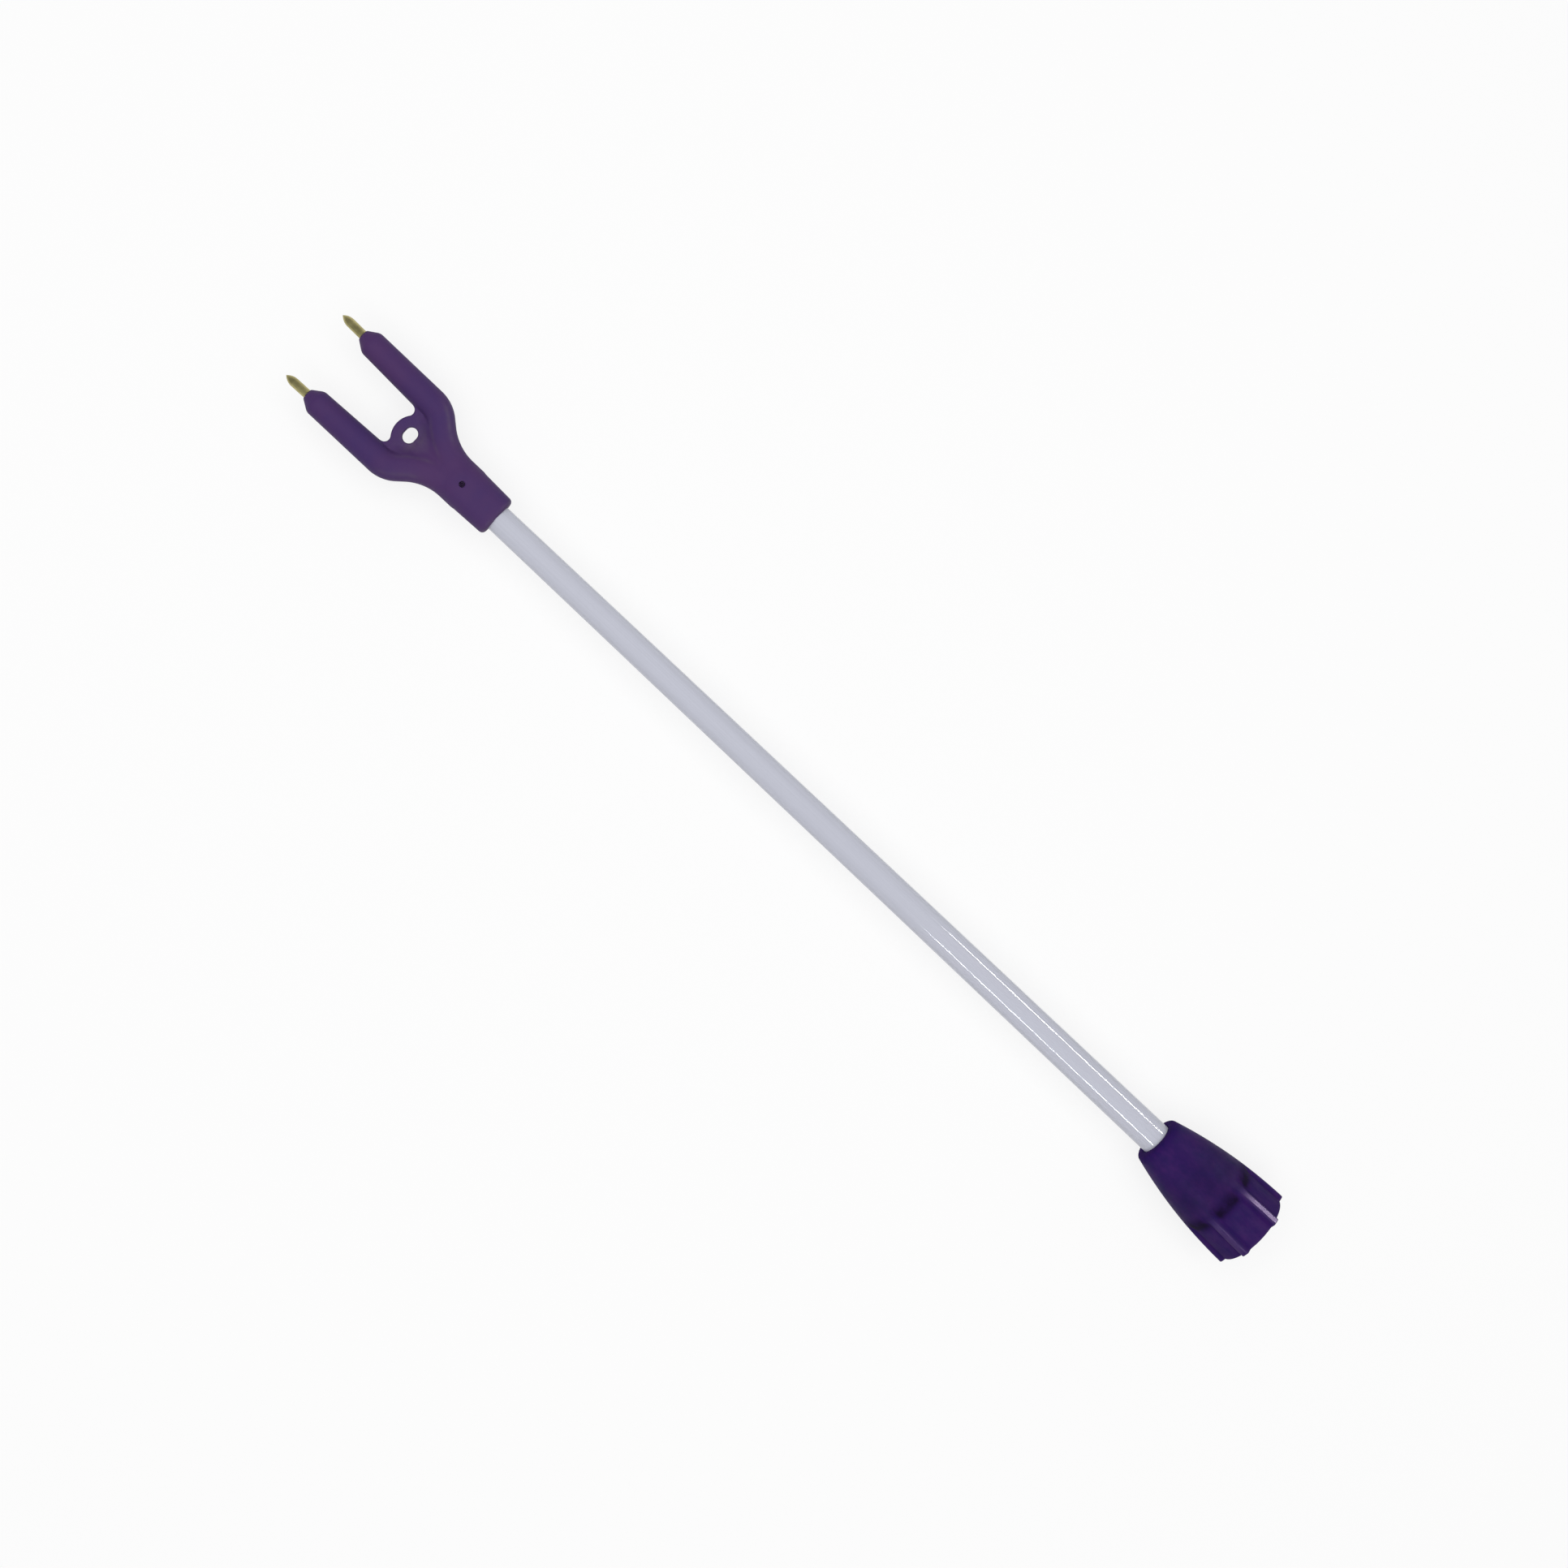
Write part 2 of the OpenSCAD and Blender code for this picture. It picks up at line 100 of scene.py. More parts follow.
class ForkSizes(PropertyGroup):
    """Sizes of the fork head."""
    socket_start: length("Socket mouth", "Distance from the nut's mouth to the socket's mouth",
                         454.2)
    socket_root: length("Socket root", "Station where the socket starts to fall away", 477.0)
    ramp_end: length("Ramp end", "Station where the socket has sunk into the web", 499.405)
    mouth_width: length("Mouth width", "Width of the socket at its mouth", 18.9)
    mouth_thickness: length("Mouth thickness", "Thickness of the socket at its mouth", 15.2)
    root_width: length("Root width", "Width of the socket at its root", 20.4)
    root_thickness: length("Root thickness", "Thickness of the socket at its root", 16.0)
    mouth_round: length("Mouth rounding", "Rounding of the edge round the mouth", 2.0)
    bore_radius: length("Bore radius", "Radius of the bore that takes the tube", 6.05)
    bore_end: length("Bore end", "Station of the bore's floor", 480.1)
    pin_station: length("Pin station", "Station of the locking pin's hole", 474.3)
    pin_radius: length("Pin hole radius", "Radius of the locking pin's hole", 1.3)
    arm_start: length("Arm start", "Station where each arm starts to bend", 478.0)
    arm_offset: length("Arm offset", "Distance of an arm's start from the axis", 3.8)
    arm_radius: length("Arm radius", "Radius of an arm's round section", 6.4)
    root_bend: length("First bend", "Radius of an arm's first bend", 29.0)
    tip_bend: length("Second bend", "Radius of an arm's second bend", 11.0)
    straight: length("Straight", "Straight run between the two bends", 4.0695)
    bend_angle: FloatProperty(name="Bend angle", description="Turn of an arm's first bend",
                              default=math.radians(41.0), subtype="ANGLE")
    splay: FloatProperty(name="Splay", description="Outward lean of each tine",
                         default=math.radians(1.1), subtype="ANGLE")
    tine: length("Tine length", "Length of a tine with its nose", 40.1)
    nose: length("Nose length", "Length of the conical nose", 4.9)
    tip_radius: length("Tine tip radius", "Radius of a tine where its nose begins", 5.75)
    nose_radius: length("Nose radius", "Radius at the end of the nose", 2.4)
    web: length("Web thickness", "Thickness of the web between the arms", 4.0)
    tab_station: length("Tab centre", "Station of the centre of the rounded tab", 502.005)
    tab_radius: length("Tab radius", "Radius of the rounded tab", 10.0)
    crotch: length("Crotch fillet", "Fillet between the tab and each tine", 2.6)
    eye_station: length("Eye station", "Station of the hanging eye's centre", 504.405)
    eye_width: length("Eye width", "Width of the hanging eye, across the fork", 7.2)
    eye_length: length("Eye length", "Length of the hanging eye, along the shaft", 5.6)
    electrode_hole: length("Electrode hole", "Radius of the hole in each nose", 2.1)
    step: length("Mesh step", "Spacing of the grid that the moulding is read on", 0.42)


class NutSizes(PropertyGroup):
    """Sizes of the coupling nut."""
    long: length("Length", "Length of the nut", 60.0)
    mouth_radius: length("Mouth radius", "Radius of the swelling outline at its crest", 20.0)
    swell: length("Swell radius", "Radius of the swelling outline", 225.0)
    crest: length("Crest", "How far in front of the mouth the outline is widest", 2.33)
    panel_radius: length("Panel radius", "Radius of the sunk panels", 17.75)
    panel_long: length("Panel length", "Length of the sunk panels", 19.2)
    panel_fall: length("Panel fall", "How far a panel sinks from the mouth to its ramp", 0.5)
    ramp: length("Ramp", "Length of a panel's ramp for each millimetre of rise", 3.2)
    rib_foot: length("Rib foot", "Width of a rib at its foot", 6.6)
    rib_crest: length("Rib crest", "Width of a rib at its crest", 2.3)
    ribs: IntProperty(name="Ribs", description="Number of grip ribs", default=6, min=3, max=12)
    soft: length("Softening", "Reach of the soft turn along each moulded edge", 0.7)
    thread_radius: length("Thread radius", "Radius over the crests of the inner thread", 15.0)
    thread_depth: length("Thread depth", "Depth of the inner thread", 0.8)
    thread_pitch: length("Thread pitch", "Pitch of the inner thread", 3.0)
    tip_round: length("Small end rounding", "Rounding of the nut's small end", 1.3)
    small_bore: length("Small bore", "Radius of the bore round the tube", 7.55)
    columns: IntProperty(name="Columns", description="Columns of the mesh round the nut",
                         default=360, min=60, max=480)


class ShaftSizes(PropertyGroup):
    """Sizes of the tube, the electrodes and the sprung contacts."""
    tube_start: length("Tube start", "Station of the tube's coupling end", 39.0)
    tube_parallel: length("Parallel end", "Station where the tube starts to taper", 60.0)
    tube_taper_end: length("Taper end", "Station where the taper ends", 454.2)
    tube_end: length("Tube end", "Station of the tube's fork end", 480.0)
    tube_base: length("Base radius", "Radius of the tube at its coupling end", 7.4)
    tube_tip: length("Tip radius", "Radius of the tube at its fork end", 6.0)
    tube_bore: length("Tube bore", "Radius of the tube's bore", 4.2)
    electrode_radius: length("Electrode radius", "Radius of an electrode", 2.05)
    electrode_out: length("Electrode length", "Length of an electrode outside its nose", 11.5)
    electrode_point: length("Point length", "Length of the bullet-shaped point", 4.6)
    electrode_seat: length("Seat length", "Length of an electrode inside its tine", 23.0)
    tail_start: length("Tail start", "Start of the thin tail, along the tine", 11.7)
    tail_radius: length("Tail radius", "Radius of the thin tail", 1.0)
    contact_offset: length("Contact offset", "Distance of a sprung contact from the axis", 4.9)
    contact_press: length("Contact press", "How far a sprung contact can be pressed in", 1.6)
    spring_start: length("Spring start", "Station where a contact's spring begins", 20.9)
    spring_long: length("Spring length", "Length of a contact's spring when it isn't pressed", 7.0)
    spring_radius: length("Spring radius", "Radius of a spring at the middle of its wire", 1.6)
    spring_wire: length("Spring wire", "Thickness of a spring's wire", 0.44)
    spring_turns: IntProperty(name="Spring turns", description="Number of turns in a spring",
                              default=6, min=3, max=12)


class Finishes(PropertyGroup):
    """Colours of the finishes."""
    fork: colour("Fork", "Matt purple of the fork head", (0.064, 0.0300, 0.118))
    nut: colour("Nut", "Deep violet of the coupling nut", (0.0240, 0.0062, 0.085))
    tube: colour("Tube", "Pale glass fibre", (0.541, 0.553, 0.634))
    brass: colour("Brass", "Dull brass of the electrodes", (0.50, 0.45, 0.215))
    contact: colour("Contact", "Bright brass of the sprung contacts", (0.72, 0.50, 0.20))
    plug: colour("Plug", "Black plastic of the contact plug", (0.012, 0.012, 0.014))


class StageSizes(PropertyGroup):
    """Camera and light."""
    lens: FloatProperty(name="Lens", description="Focal length on a 36 mm sensor", default=55.77,
                        min=10.0, unit="CAMERA")
    tilt: FloatProperty(name="Tilt", description="Lean of the view towards the nut",
                        default=math.radians(6.13), subtype="ANGLE")
    station: length("Camera station", "Station of the camera along the shaft", 399.6)
    side: FloatProperty(name="Camera side", description="Camera's place across the shaft",
                        default=-1.3 * MM, unit="LENGTH")
    height: length("Camera height", "Height of the camera above the shaft's axis", 1041.0)
    top_power: FloatProperty(name="Top light", description="Power of the large top light",
                             default=33.0, min=0.0, unit="POWER")
    strip_power: FloatProperty(name="Strip lights", description="Power of each narrow side light",
                               default=9.0, min=0.0, unit="POWER")
    fill: FloatProperty(name="Fill", description="Strength of the even light from all round",
                        default=0.42, min=0.0, subtype="FACTOR")


class ProdShaft(PropertyGroup):
    """All settings of the part."""
    fork: PointerProperty(type=ForkSizes)
    nut: PointerProperty(type=NutSizes)
    shaft: PointerProperty(type=ShaftSizes)
    finish: PointerProperty(type=Finishes)
    stage: PointerProperty(type=StageSizes)


class Millimetres:
    """A settings group whose lengths are read in millimetres."""

    def __init__(self, group):
        for name in group.__annotations__:
            value = getattr(group, name)
            is_length = group.bl_rna.properties[name].unit == "LENGTH"
            setattr(self, name, value / MM if is_length else value)


# ---------------------------------------------------------------- soft joins


def soft_min(a, b, k):
    """The smaller of two values, with a parabola across the last k where they cross."""
    h = np.clip(0.5 + 0.5 * (b - a) / k, 0.0, 1.0)
    return b + (a - b) * h - k * h * (1.0 - h)


def soft_max(a, b, k):
    """The larger of two values, turned in the same soft way."""
    return -soft_min(-a, -b, k)


def filleted(a, b, r):
    """Union of two fields with a round fillet of radius r where their surfaces meet."""
    corner = np.hypot(np.maximum(r - a, 0.0), np.maximum(r - b, 0.0))
    return np.maximum(r, np.minimum(a, b)) - corner


def rounded(a, b, r):
    """Overlap of two fields with a rounding of radius r along the edge they share."""
    corner = np.hypot(np.maximum(r + a, 0.0), np.maximum(r + b, 0.0))
    return np.minimum(-r, np.maximum(a, b)) + corner


def smooth_step(low, high, x):
    """A cubic rise from 0 at low to 1 at high."""
    t = np.clip((x - low) / (high - low), 0.0, 1.0)
    return t * t * (3.0 - 2.0 * t)


# ---------------------------------------------------------------- fork head

# Roundings of the fork's edges, in millimetres
SHANK_ROUND = 0.6
NOSE_ROUND = 0.5
WEB_ROUND = 0.7
RAMP_ROUND = 1.0
BORE_ROUND = 0.35
HOLE_ROUND = 0.3

# Fillets where the fork's forms join. The web's grows from its edge inwards, and the socket's
# grows between two stations.
ARM_FILLET = 1.6
WEB_FILLET, WEB_FILLET_GROWTH, WEB_FILLET_SPAN = 0.1, 2.9, (0.3, 4.0)
SOCKET_FILLET, SOCKET_FILLET_SPAN = 2.2, (476.0, 487.0)
SOCKET_SOFT = 1.2

# Reaches and ends of the fork's forms
LEAD_IN = 6.0
TINE_OVERLAP = 0.5
CROTCH_OVERLAP = 1.5
WEB_REACH = 4.4
ELECTRODE_HOLE_DEPTH = 4.0
PIN_HOLE_FLOOR = 4.0
RAMP_HALF_WIDE, RAMP_HALF_HIGH, LEAST_HALF_HIGH = 4.0, 2.2, 1.5


def tine_root(s):
    """Place where an arm's second bend ends: offset and stations of the two bends added up."""
    b, a = s.bend_angle, s.splay
    x = s.arm_start + s.root_bend * math.sin(b) + s.straight * math.cos(b)
    x += s.tip_bend * (math.sin(b) - math.sin(a))
    y = s.arm_offset + s.root_bend * (1 - math.cos(b)) + s.straight * math.sin(b)
    y += s.tip_bend * (math.cos(a) - math.cos(b))
    return x, y


def run_distance(x, y, x0, y0, heading, reach):
    """Flat distance from points to a straight run of a given heading and length."""
    c, n = math.cos(heading), math.sin(heading)
    u = (x - x0) * c + (y - y0) * n
    v = (y - y0) * c - (x - x0) * n
    return np.hypot(u - np.clip(u, 0.0, reach), v)


def bend_distance(x, y, cx, cy, radius, middle, half):
    """Flat distance from points to an arc about a centre, given its middle direction and half
    its turn: beside the arc it is the distance to the circle, and past an end to that end."""
    c, n = math.cos(middle), math.sin(middle)
    u = (x - cx) * c + (y - cy) * n
    v = np.abs((y - cy) * c - (x - cx) * n)
    beside = np.arctan2(v, u) <= half
    end = np.hypot(u - radius * math.cos(half), v - radius * math.sin(half))
    return np.where(beside, np.abs(np.hypot(u, v) - radius), end)


def arm_distance(x, y, s):
    """Flat distance to the centre line of the +Y arm: a short run, a bend, a run, a bend back."""
    b, a = s.bend_angle, s.splay
    d = run_distance(x, y, s.arm_start - LEAD_IN, s.arm_offset, 0.0, LEAD_IN)
    cy = s.arm_offset + s.root_bend
    middle = -math.pi / 2 + b / 2
    d = np.minimum(d, bend_distance(x, y, s.arm_start, cy, s.root_bend, middle, b / 2))
    px = s.arm_start + s.root_bend * math.sin(b)
    py = cy - s.root_bend * math.cos(b)
    d = np.minimum(d, run_distance(x, y, px, py, b, s.straight))
    qx = px + s.straight * math.cos(b) + s.tip_bend * math.sin(b)
    qy = py + s.straight * math.sin(b) - s.tip_bend * math.cos(b)
    middle = math.pi / 2 + (a + b) / 2
    return np.minimum(d, bend_distance(x, y, qx, qy, s.tip_bend, middle, (b - a) / 2))


def arm_field(x, y, z, s):
    """Field of the +Y arm and its tine: the distance to the centre line less the round section's
    radius, then a slow cone for the tine, cut by a steeper cone and a plane at the nose. The
    field of the electrode's hole comes with it."""
    tx, ty = tine_root(s)
    c, n = math.cos(s.splay), math.sin(s.splay)
    u = (x - tx) * c + (y - ty) * n
    v = (y - ty) * c - (x - tx) * n
    rho = np.hypot(v, z)
    shank_long = s.tine - s.nose
    shank = rho - (s.arm_radius - (s.arm_radius - s.tip_radius) * u / shank_long)
    lean = (s.tip_radius - s.nose_radius) / s.nose
    cone = (rho - (s.tip_radius - lean * (u - shank_long))) / math.hypot(1.0, lean)
    tine = rounded(shank, cone, SHANK_ROUND)
    tine = rounded(tine, u - s.tine, NOSE_ROUND)
    tine = np.maximum(tine, -u - TINE_OVERLAP)
    arm = np.hypot(arm_distance(x, y, s), z) - s.arm_radius
    hole = np.maximum(rho - s.electrode_hole, s.tine - ELECTRODE_HOLE_DEPTH - u)
    return np.minimum(arm, tine), hole


def crotch_field(x, y, s):
    """Flat field of the fill in the +Y crotch: the wedge between the tab and the tine, less a round
    bite that touches both."""
    tx, ty = tine_root(s)
    inner = ty + (s.tab_station + s.tab_radius - tx) * math.sin(s.splay) - s.arm_radius
    bite_y = inner - s.crotch
    run = math.sqrt((s.tab_radius + s.crotch) ** 2 - bite_y ** 2)
    u = x - s.tab_station
    bite = s.crotch - np.hypot(u - run, y - bite_y)
    beside = (u * bite_y - y * run) / math.hypot(run, bite_y)
    return np.maximum(np.maximum(bite, u - run), np.maximum(beside, y - inner - CROTCH_OVERLAP))


def fork_field(p, s):
    """Field of the fork head, below nought inside: two arms joined by a fillet, a flat web with a
    round tab and an oval eye, and a socket of flat-sided oval section that sinks into the web."""
    x, y, z = p[..., 0], p[..., 1], p[..., 2]
    left, left_hole = arm_field(x, y, z, s)
    right, right_hole = arm_field(x, -y, z, s)
    arms = filleted(left, right, ARM_FILLET)
    tab = np.hypot(x - s.tab_station, y) - s.tab_radius
    flat = np.minimum(tab, np.minimum(crotch_field(x, y, s), crotch_field(x, -y, s)))
    flat = np.maximum(flat, tab - WEB_REACH)
    web = rounded(flat, np.abs(z) - s.web / 2, WEB_ROUND)
    side = np.maximum(np.abs(y) - (s.eye_width - s.eye_length) / 2, 0.0)
    eye = np.hypot(x - s.eye_station, side) - s.eye_length / 2
    web = rounded(web, -eye, WEB_ROUND)
    inward = smooth_step(*WEB_FILLET_SPAN, -flat)
    body = filleted(arms, web, WEB_FILLET + WEB_FILLET_GROWTH * inward)
    t = (x - s.socket_start) / (s.socket_root - s.socket_start)
    fall = (x - s.socket_root) / (s.ramp_end - s.socket_root)
    root_wide, root_high = s.root_width / 2, s.root_thickness / 2
    half_wide = s.mouth_width / 2 + (s.root_width - s.mouth_width) / 2 * t
    half_wide = soft_min(half_wide, root_wide - (root_wide - RAMP_HALF_WIDE) * fall, SOCKET_SOFT)
    half_high = s.mouth_thickness / 2 + (s.root_thickness - s.mouth_thickness) / 2 * t
    half_high = soft_min(half_high, root_high - (root_high - RAMP_HALF_HIGH) * fall, SOCKET_SOFT)
    half_high = np.maximum(half_high, LEAST_HALF_HIGH)
    across = np.maximum(np.abs(y) - np.maximum(half_wide - half_high, 0.0), 0.0)
    socket = np.hypot(across, z) - half_high
    socket = rounded(socket, s.socket_start - x, s.mouth_round)
    socket = rounded(socket, x - s.ramp_end, RAMP_ROUND)
    body = filleted(body, socket, SOCKET_FILLET * smooth_step(*SOCKET_FILLET_SPAN, x))
    bore = np.maximum(np.hypot(y, z) - s.bore_radius, x - s.bore_end)
    body = rounded(body, -bore, BORE_ROUND)
    pin = np.maximum(np.hypot(x - s.pin_station, y) - s.pin_radius, PIN_HOLE_FLOOR - z)
    for hole in (pin, left_hole, right_hole):
        body = rounded(body, -hole, HOLE_ROUND)
    return body


def fork_wear_and_highlight(p, s):
    """How rubbed the fork is at each point, with painted highlight: a bell round the eye and the
    web behind it, two soft lines of painted highlight along each arm's bend, the edge round the
    socket's mouth and the ends of the noses."""
    x, y, z = p[:, 0], p[:, 1], p[:, 2]
    behind_eye, rub_reach = 6.0, 9.0
    rub = ((x - s.eye_station + behind_eye) / rub_reach) ** 2 + (y / rub_reach) ** 2
    web = np.exp(-rub) * smooth_step(4.5, 2.4, np.abs(z))
    mouth_reach, nose_reach = 1.3, 1.2
    mouth = np.exp(-(((x - s.socket_start) / mouth_reach) ** 2))
    tine_end = tine_root(s)[0] + s.tine
    nose = smooth_step(tine_end - nose_reach, tine_end, x)
    # painted highlight: two soft lighter lines along each arm's bend
    highlight_line_off, highlight_line_reach = 3.9, 0.8
    off = arm_distance(x, np.abs(y), s)
    bend = smooth_step(486.0, 492.0, x) * smooth_step(508.0, 500.0, x)
    line = np.exp(-(((off - highlight_line_off) / highlight_line_reach) ** 2)) * bend
    return np.clip(0.75 * web + 0.55 * mouth + 0.4 * nose + 0.4 * line, 0.0, 1.0)


def field_slope(field, p):
    """Slope of a field at points, from differences over a short step."""
    h = 0.02
    steps = np.eye(3) * h
    return np.stack([(field(p + d) - field(p - d)) / (2 * h) for d in steps], axis=-1)


def field_surface(field, low, high, step):
    """Closed surface where a field is nought. Each grid cell that the surface crosses gets one
    point, at the mean of the crossings on its edges, and each crossed grid edge gets one
    four-sided face. The points are then slid along the field's slope on to the surface."""
    counts = np.ceil((high - low) / step).astype(int) + 1
    axes = [low[k] + step * np.arange(counts[k]) for k in range(3)]
    grid = np.stack(np.meshgrid(*axes, indexing="ij"), axis=-1)
    value = field(grid)
    inside = value < 0
    cells = counts - 1
    total = np.zeros((*cells, 3))
    hits = np.zeros(cells)
    corners = np.array(np.meshgrid([0, 1], [0, 1], [0, 1], indexing="ij")).reshape(3, -1).T

    def corner(array, c):
        return array[c[0]:c[0] + cells[0], c[1]:c[1] + cells[1], c[2]:c[2] + cells[2]]

    for axis in range(3):
        for c in corners[corners[:, axis] == 0]:
            d = c.copy()
            d[axis] = 1
            a, b = corner(value, c), corner(value, d)
            crossed = (a < 0) != (b < 0)
            share = np.where(crossed, a / np.where(crossed, a - b, 1.0), 0.0)
            at = np.broadcast_to(c.astype(float), total.shape).copy()
            at[..., axis] = share
            total += np.where(crossed[..., None], at, 0.0)
            hits += crossed
    used = hits > 0
    index = np.full(cells, -1)
    index[used] = np.arange(np.count_nonzero(used))
    points = grid[:-1, :-1, :-1][used] + step * total[used] / hits[used][:, None]
    for _ in range(4):
        slope = field_slope(field, points)
        steep = np.maximum((slope ** 2).sum(1, keepdims=True), 0.05)
        shift = field(points)[:, None] * slope / steep
        size = np.linalg.norm(shift, axis=1, keepdims=True)
        points = points - shift * np.minimum(1.0, 0.6 * step / np.maximum(size, 1e-9))
    faces = []
    for axis in range(3):
        j, k = (axis + 1) % 3, (axis + 2) % 3
        first = np.moveaxis(inside, (axis, j, k), (0, 1, 2))
        cell = np.moveaxis(index, (axis, j, k), (0, 1, 2))
        s0, s1 = first[:-1, 1:-1, 1:-1], first[1:, 1:-1, 1:-1]
        ring = np.stack([cell[:, :-1, :-1], cell[:, 1:, :-1], cell[:, 1:, 1:], cell[:, :-1, 1:]],
                        axis=-1)
        faces.append(ring[s0 & ~s1])
        faces.append(ring[~s0 & s1][:, ::-1])
    return points, np.concatenate(faces)


# ---------------------------------------------------------------- turned and ribbed pieces

# Stations, reaches and steps of the nut's forms, in millimetres
FLAT_CREST_SPAN = (26.0, 19.0)
RIB_SOFT = 0.4
THREAD_START, THREAD_END = (0.7, 2.2), (11.8, 13.4)
MOUTH_ROUND = 0.6
RIBBED_END = 26.0
RIBBED_STEP, THREAD_STEP = 0.45, 0.24
LAND = 5.0
RELIEF = 0.4
SHOULDER = 22.6


def grid_faces(rows, columns, closed):
    """Four-sided faces of a grid that closes round its columns, and round its rows if asked."""
    count = rows if closed else rows - 1
    i, j = np.meshgrid(np.arange(count), np.arange(columns), indexing="ij")
    a = i * columns + j
    b = i * columns + (j + 1) % columns
    c = (i + 1) % rows * columns + (j + 1) % columns
    d = (i + 1) % rows * columns + j
    return np.stack([a, b, c, d], axis=-1).reshape(-1, 4)


def turned(stations, radii, columns):
    """Surface of revolution about X: the station and radius of each row, swept round in equal
    steps. The outline closes on itself."""
    angle = 2 * np.pi * np.arange(columns) / columns
    x = np.broadcast_to(np.asarray(stations, float)[:, None], (len(stations), columns))
    r = np.broadcast_to(np.asarray(radii, float)[:, None], x.shape)
    points = np.stack([x, r * np.cos(angle), r * np.sin(angle)], axis=-1).reshape(-1, 3)
    return points, grid_faces(len(stations), columns, True)


def capped(points, rows, columns, poles):
    """Closes the two open ends of a grid with a fan of faces to a pole at each end."""
    j = np.arange(columns)
    k = (j + 1) % columns
    first = np.full(columns, rows * columns)
    last = (rows - 1) * columns
    start = np.stack([k, j, first], -1)
    end = np.stack([last + j, last + k, first + 1], -1)
    sides = grid_faces(rows, columns, False)
    return np.concatenate([points, poles]), (sides, np.concatenate([start, end]))


def turned_solid(stations, radii, columns):
    """Surface of revolution about X whose two ends run to a point on the axis."""
    points, _ = turned(stations, radii, columns)
    poles = np.array([[stations[0], 0.0, 0.0], [stations[-1], 0.0, 0.0]])
    return capped(points, len(stations), columns, poles)


def nut_outside(x, angle, s):
    """Radius of the nut's outside: the panel's radius, which falls evenly from the mouth, plus a
    share of the room up to the swelling outline. A rib takes a cosine hump of that room with a flat
    crest, and the ramp at the panel's end climbs through it evenly. The higher of the two counts,
    turned softly."""
    swell = s.mouth_radius - s.swell + np.sqrt(s.swell ** 2 - (x + s.crest) ** 2)
    pitch = 2 * np.pi / s.ribs
    off = (angle + pitch / 2) % pitch - pitch / 2
    across = np.abs(s.mouth_radius * np.sin(off))
    panel = s.panel_radius - s.panel_fall * np.clip(x / s.panel_long, 0.0, 1.0)
    room = swell - panel
    flat = np.clip((across - s.rib_crest / 2) / ((s.rib_foot - s.rib_crest) / 2), 0.0, 1.0)
    land = math.asin(s.rib_crest / 2 / s.mouth_radius)
    dip = swell * np.maximum(1.0 - math.cos(land) / np.cos(off), 0.0)
    dip = dip * smooth_step(*FLAT_CREST_SPAN, x)
    rib = np.maximum(room, 0.0) * 0.5 * (1.0 + np.cos(np.pi * flat))
    ramp = soft_max((x - s.panel_long) / s.ramp, np.zeros_like(x), s.soft)
    ramp = soft_min(ramp, room, s.soft)
    return panel + np.minimum(soft_max(rib, ramp, RIB_SOFT), room) - dip


def thread_groove(x, angle, s):
    """Depth of the inner thread: a clipped sine that climbs one pitch in each turn, faded out
    towards both ends of the thread."""
    phase = 2 * np.pi * x / s.thread_pitch - angle
    groove = np.clip(0.5 + 0.9 * np.sin(phase), 0.0, 1.0)
    fade = smooth_step(*THREAD_START, x) * (1.0 - smooth_step(*THREAD_END, x))
    return s.thread_depth * groove * fade


def nut_surface(s):
    """Ring-shaped surface of the nut. One parameter runs along the outline from the mouth's face
    over the outside to the small end and back through the bore, and the other runs round."""
    even = 2 * np.pi * np.arange(s.columns) / s.columns
    angle = even - 0.5 / s.ribs * np.sin(s.ribs * even)
    turn = np.linspace(0.0, np.pi / 2, 6)
    mouth_x = MOUTH_ROUND * (1 - np.cos(turn))
    mouth_in = MOUTH_ROUND * (1 - np.sin(turn))
    fine = np.arange(1.0, RIBBED_END, RIBBED_STEP)
    coarse = np.linspace(RIBBED_END + 0.2, s.long - s.tip_round - 0.4, 30)
    tip_x = s.long - s.tip_round + s.tip_round * np.sin(turn)
    tip_in = 1.1 * s.tip_round * (1.0 - np.cos(turn))
    x = np.concatenate([mouth_x, fine, coarse, tip_x])
    inset = np.concatenate([mouth_in, 0 * fine, 0 * coarse, tip_in])
    outside = nut_outside(x[:, None], angle[None, :], s) - inset[:, None]
    grooved = np.arange(13.9, 0.5, -THREAD_STEP)
    relief = s.thread_radius + RELIEF
    bore = np.array([
        [s.long, s.small_bore + 0.2], [s.long - 0.05, s.small_bore + 0.06],
        [s.long - 0.2, s.small_bore], [s.long - LAND, s.small_bore],
        [s.long - LAND, 9.8], [44.0, 10.7], [33.0, 11.65], [SHOULDER, 12.5],
        [SHOULDER, relief], [18.0, relief], [14.2, relief]])
    lip = np.array([[0.42, s.thread_radius + 0.08], [0.12, s.thread_radius + 0.35],
                    [0.0, s.thread_radius + 0.7]])
    inner_x = np.concatenate([bore[:, 0], grooved, lip[:, 0]])
    inner_r = np.concatenate([bore[:, 1], np.full(len(grooved), s.thread_radius), lip[:, 1]])
    inside = inner_r[:, None] + thread_groove(inner_x[:, None], angle[None, :], s)
    along = np.concatenate([x, inner_x])
    radius = np.concatenate([outside, inside])
    points = np.stack([np.broadcast_to(along[:, None], radius.shape),
                       radius * np.cos(angle), radius * np.sin(angle)], axis=-1)
    return points.reshape(-1, 3), grid_faces(len(along), s.columns, True)


def rib_offset(points, s):
    """Angle from each point to the middle of the nearest rib."""
    pitch = 2 * np.pi / s.ribs
    angle = np.arctan2(points[:, 2], points[:, 1])
    return np.abs((angle + pitch / 2) % pitch - pitch / 2)


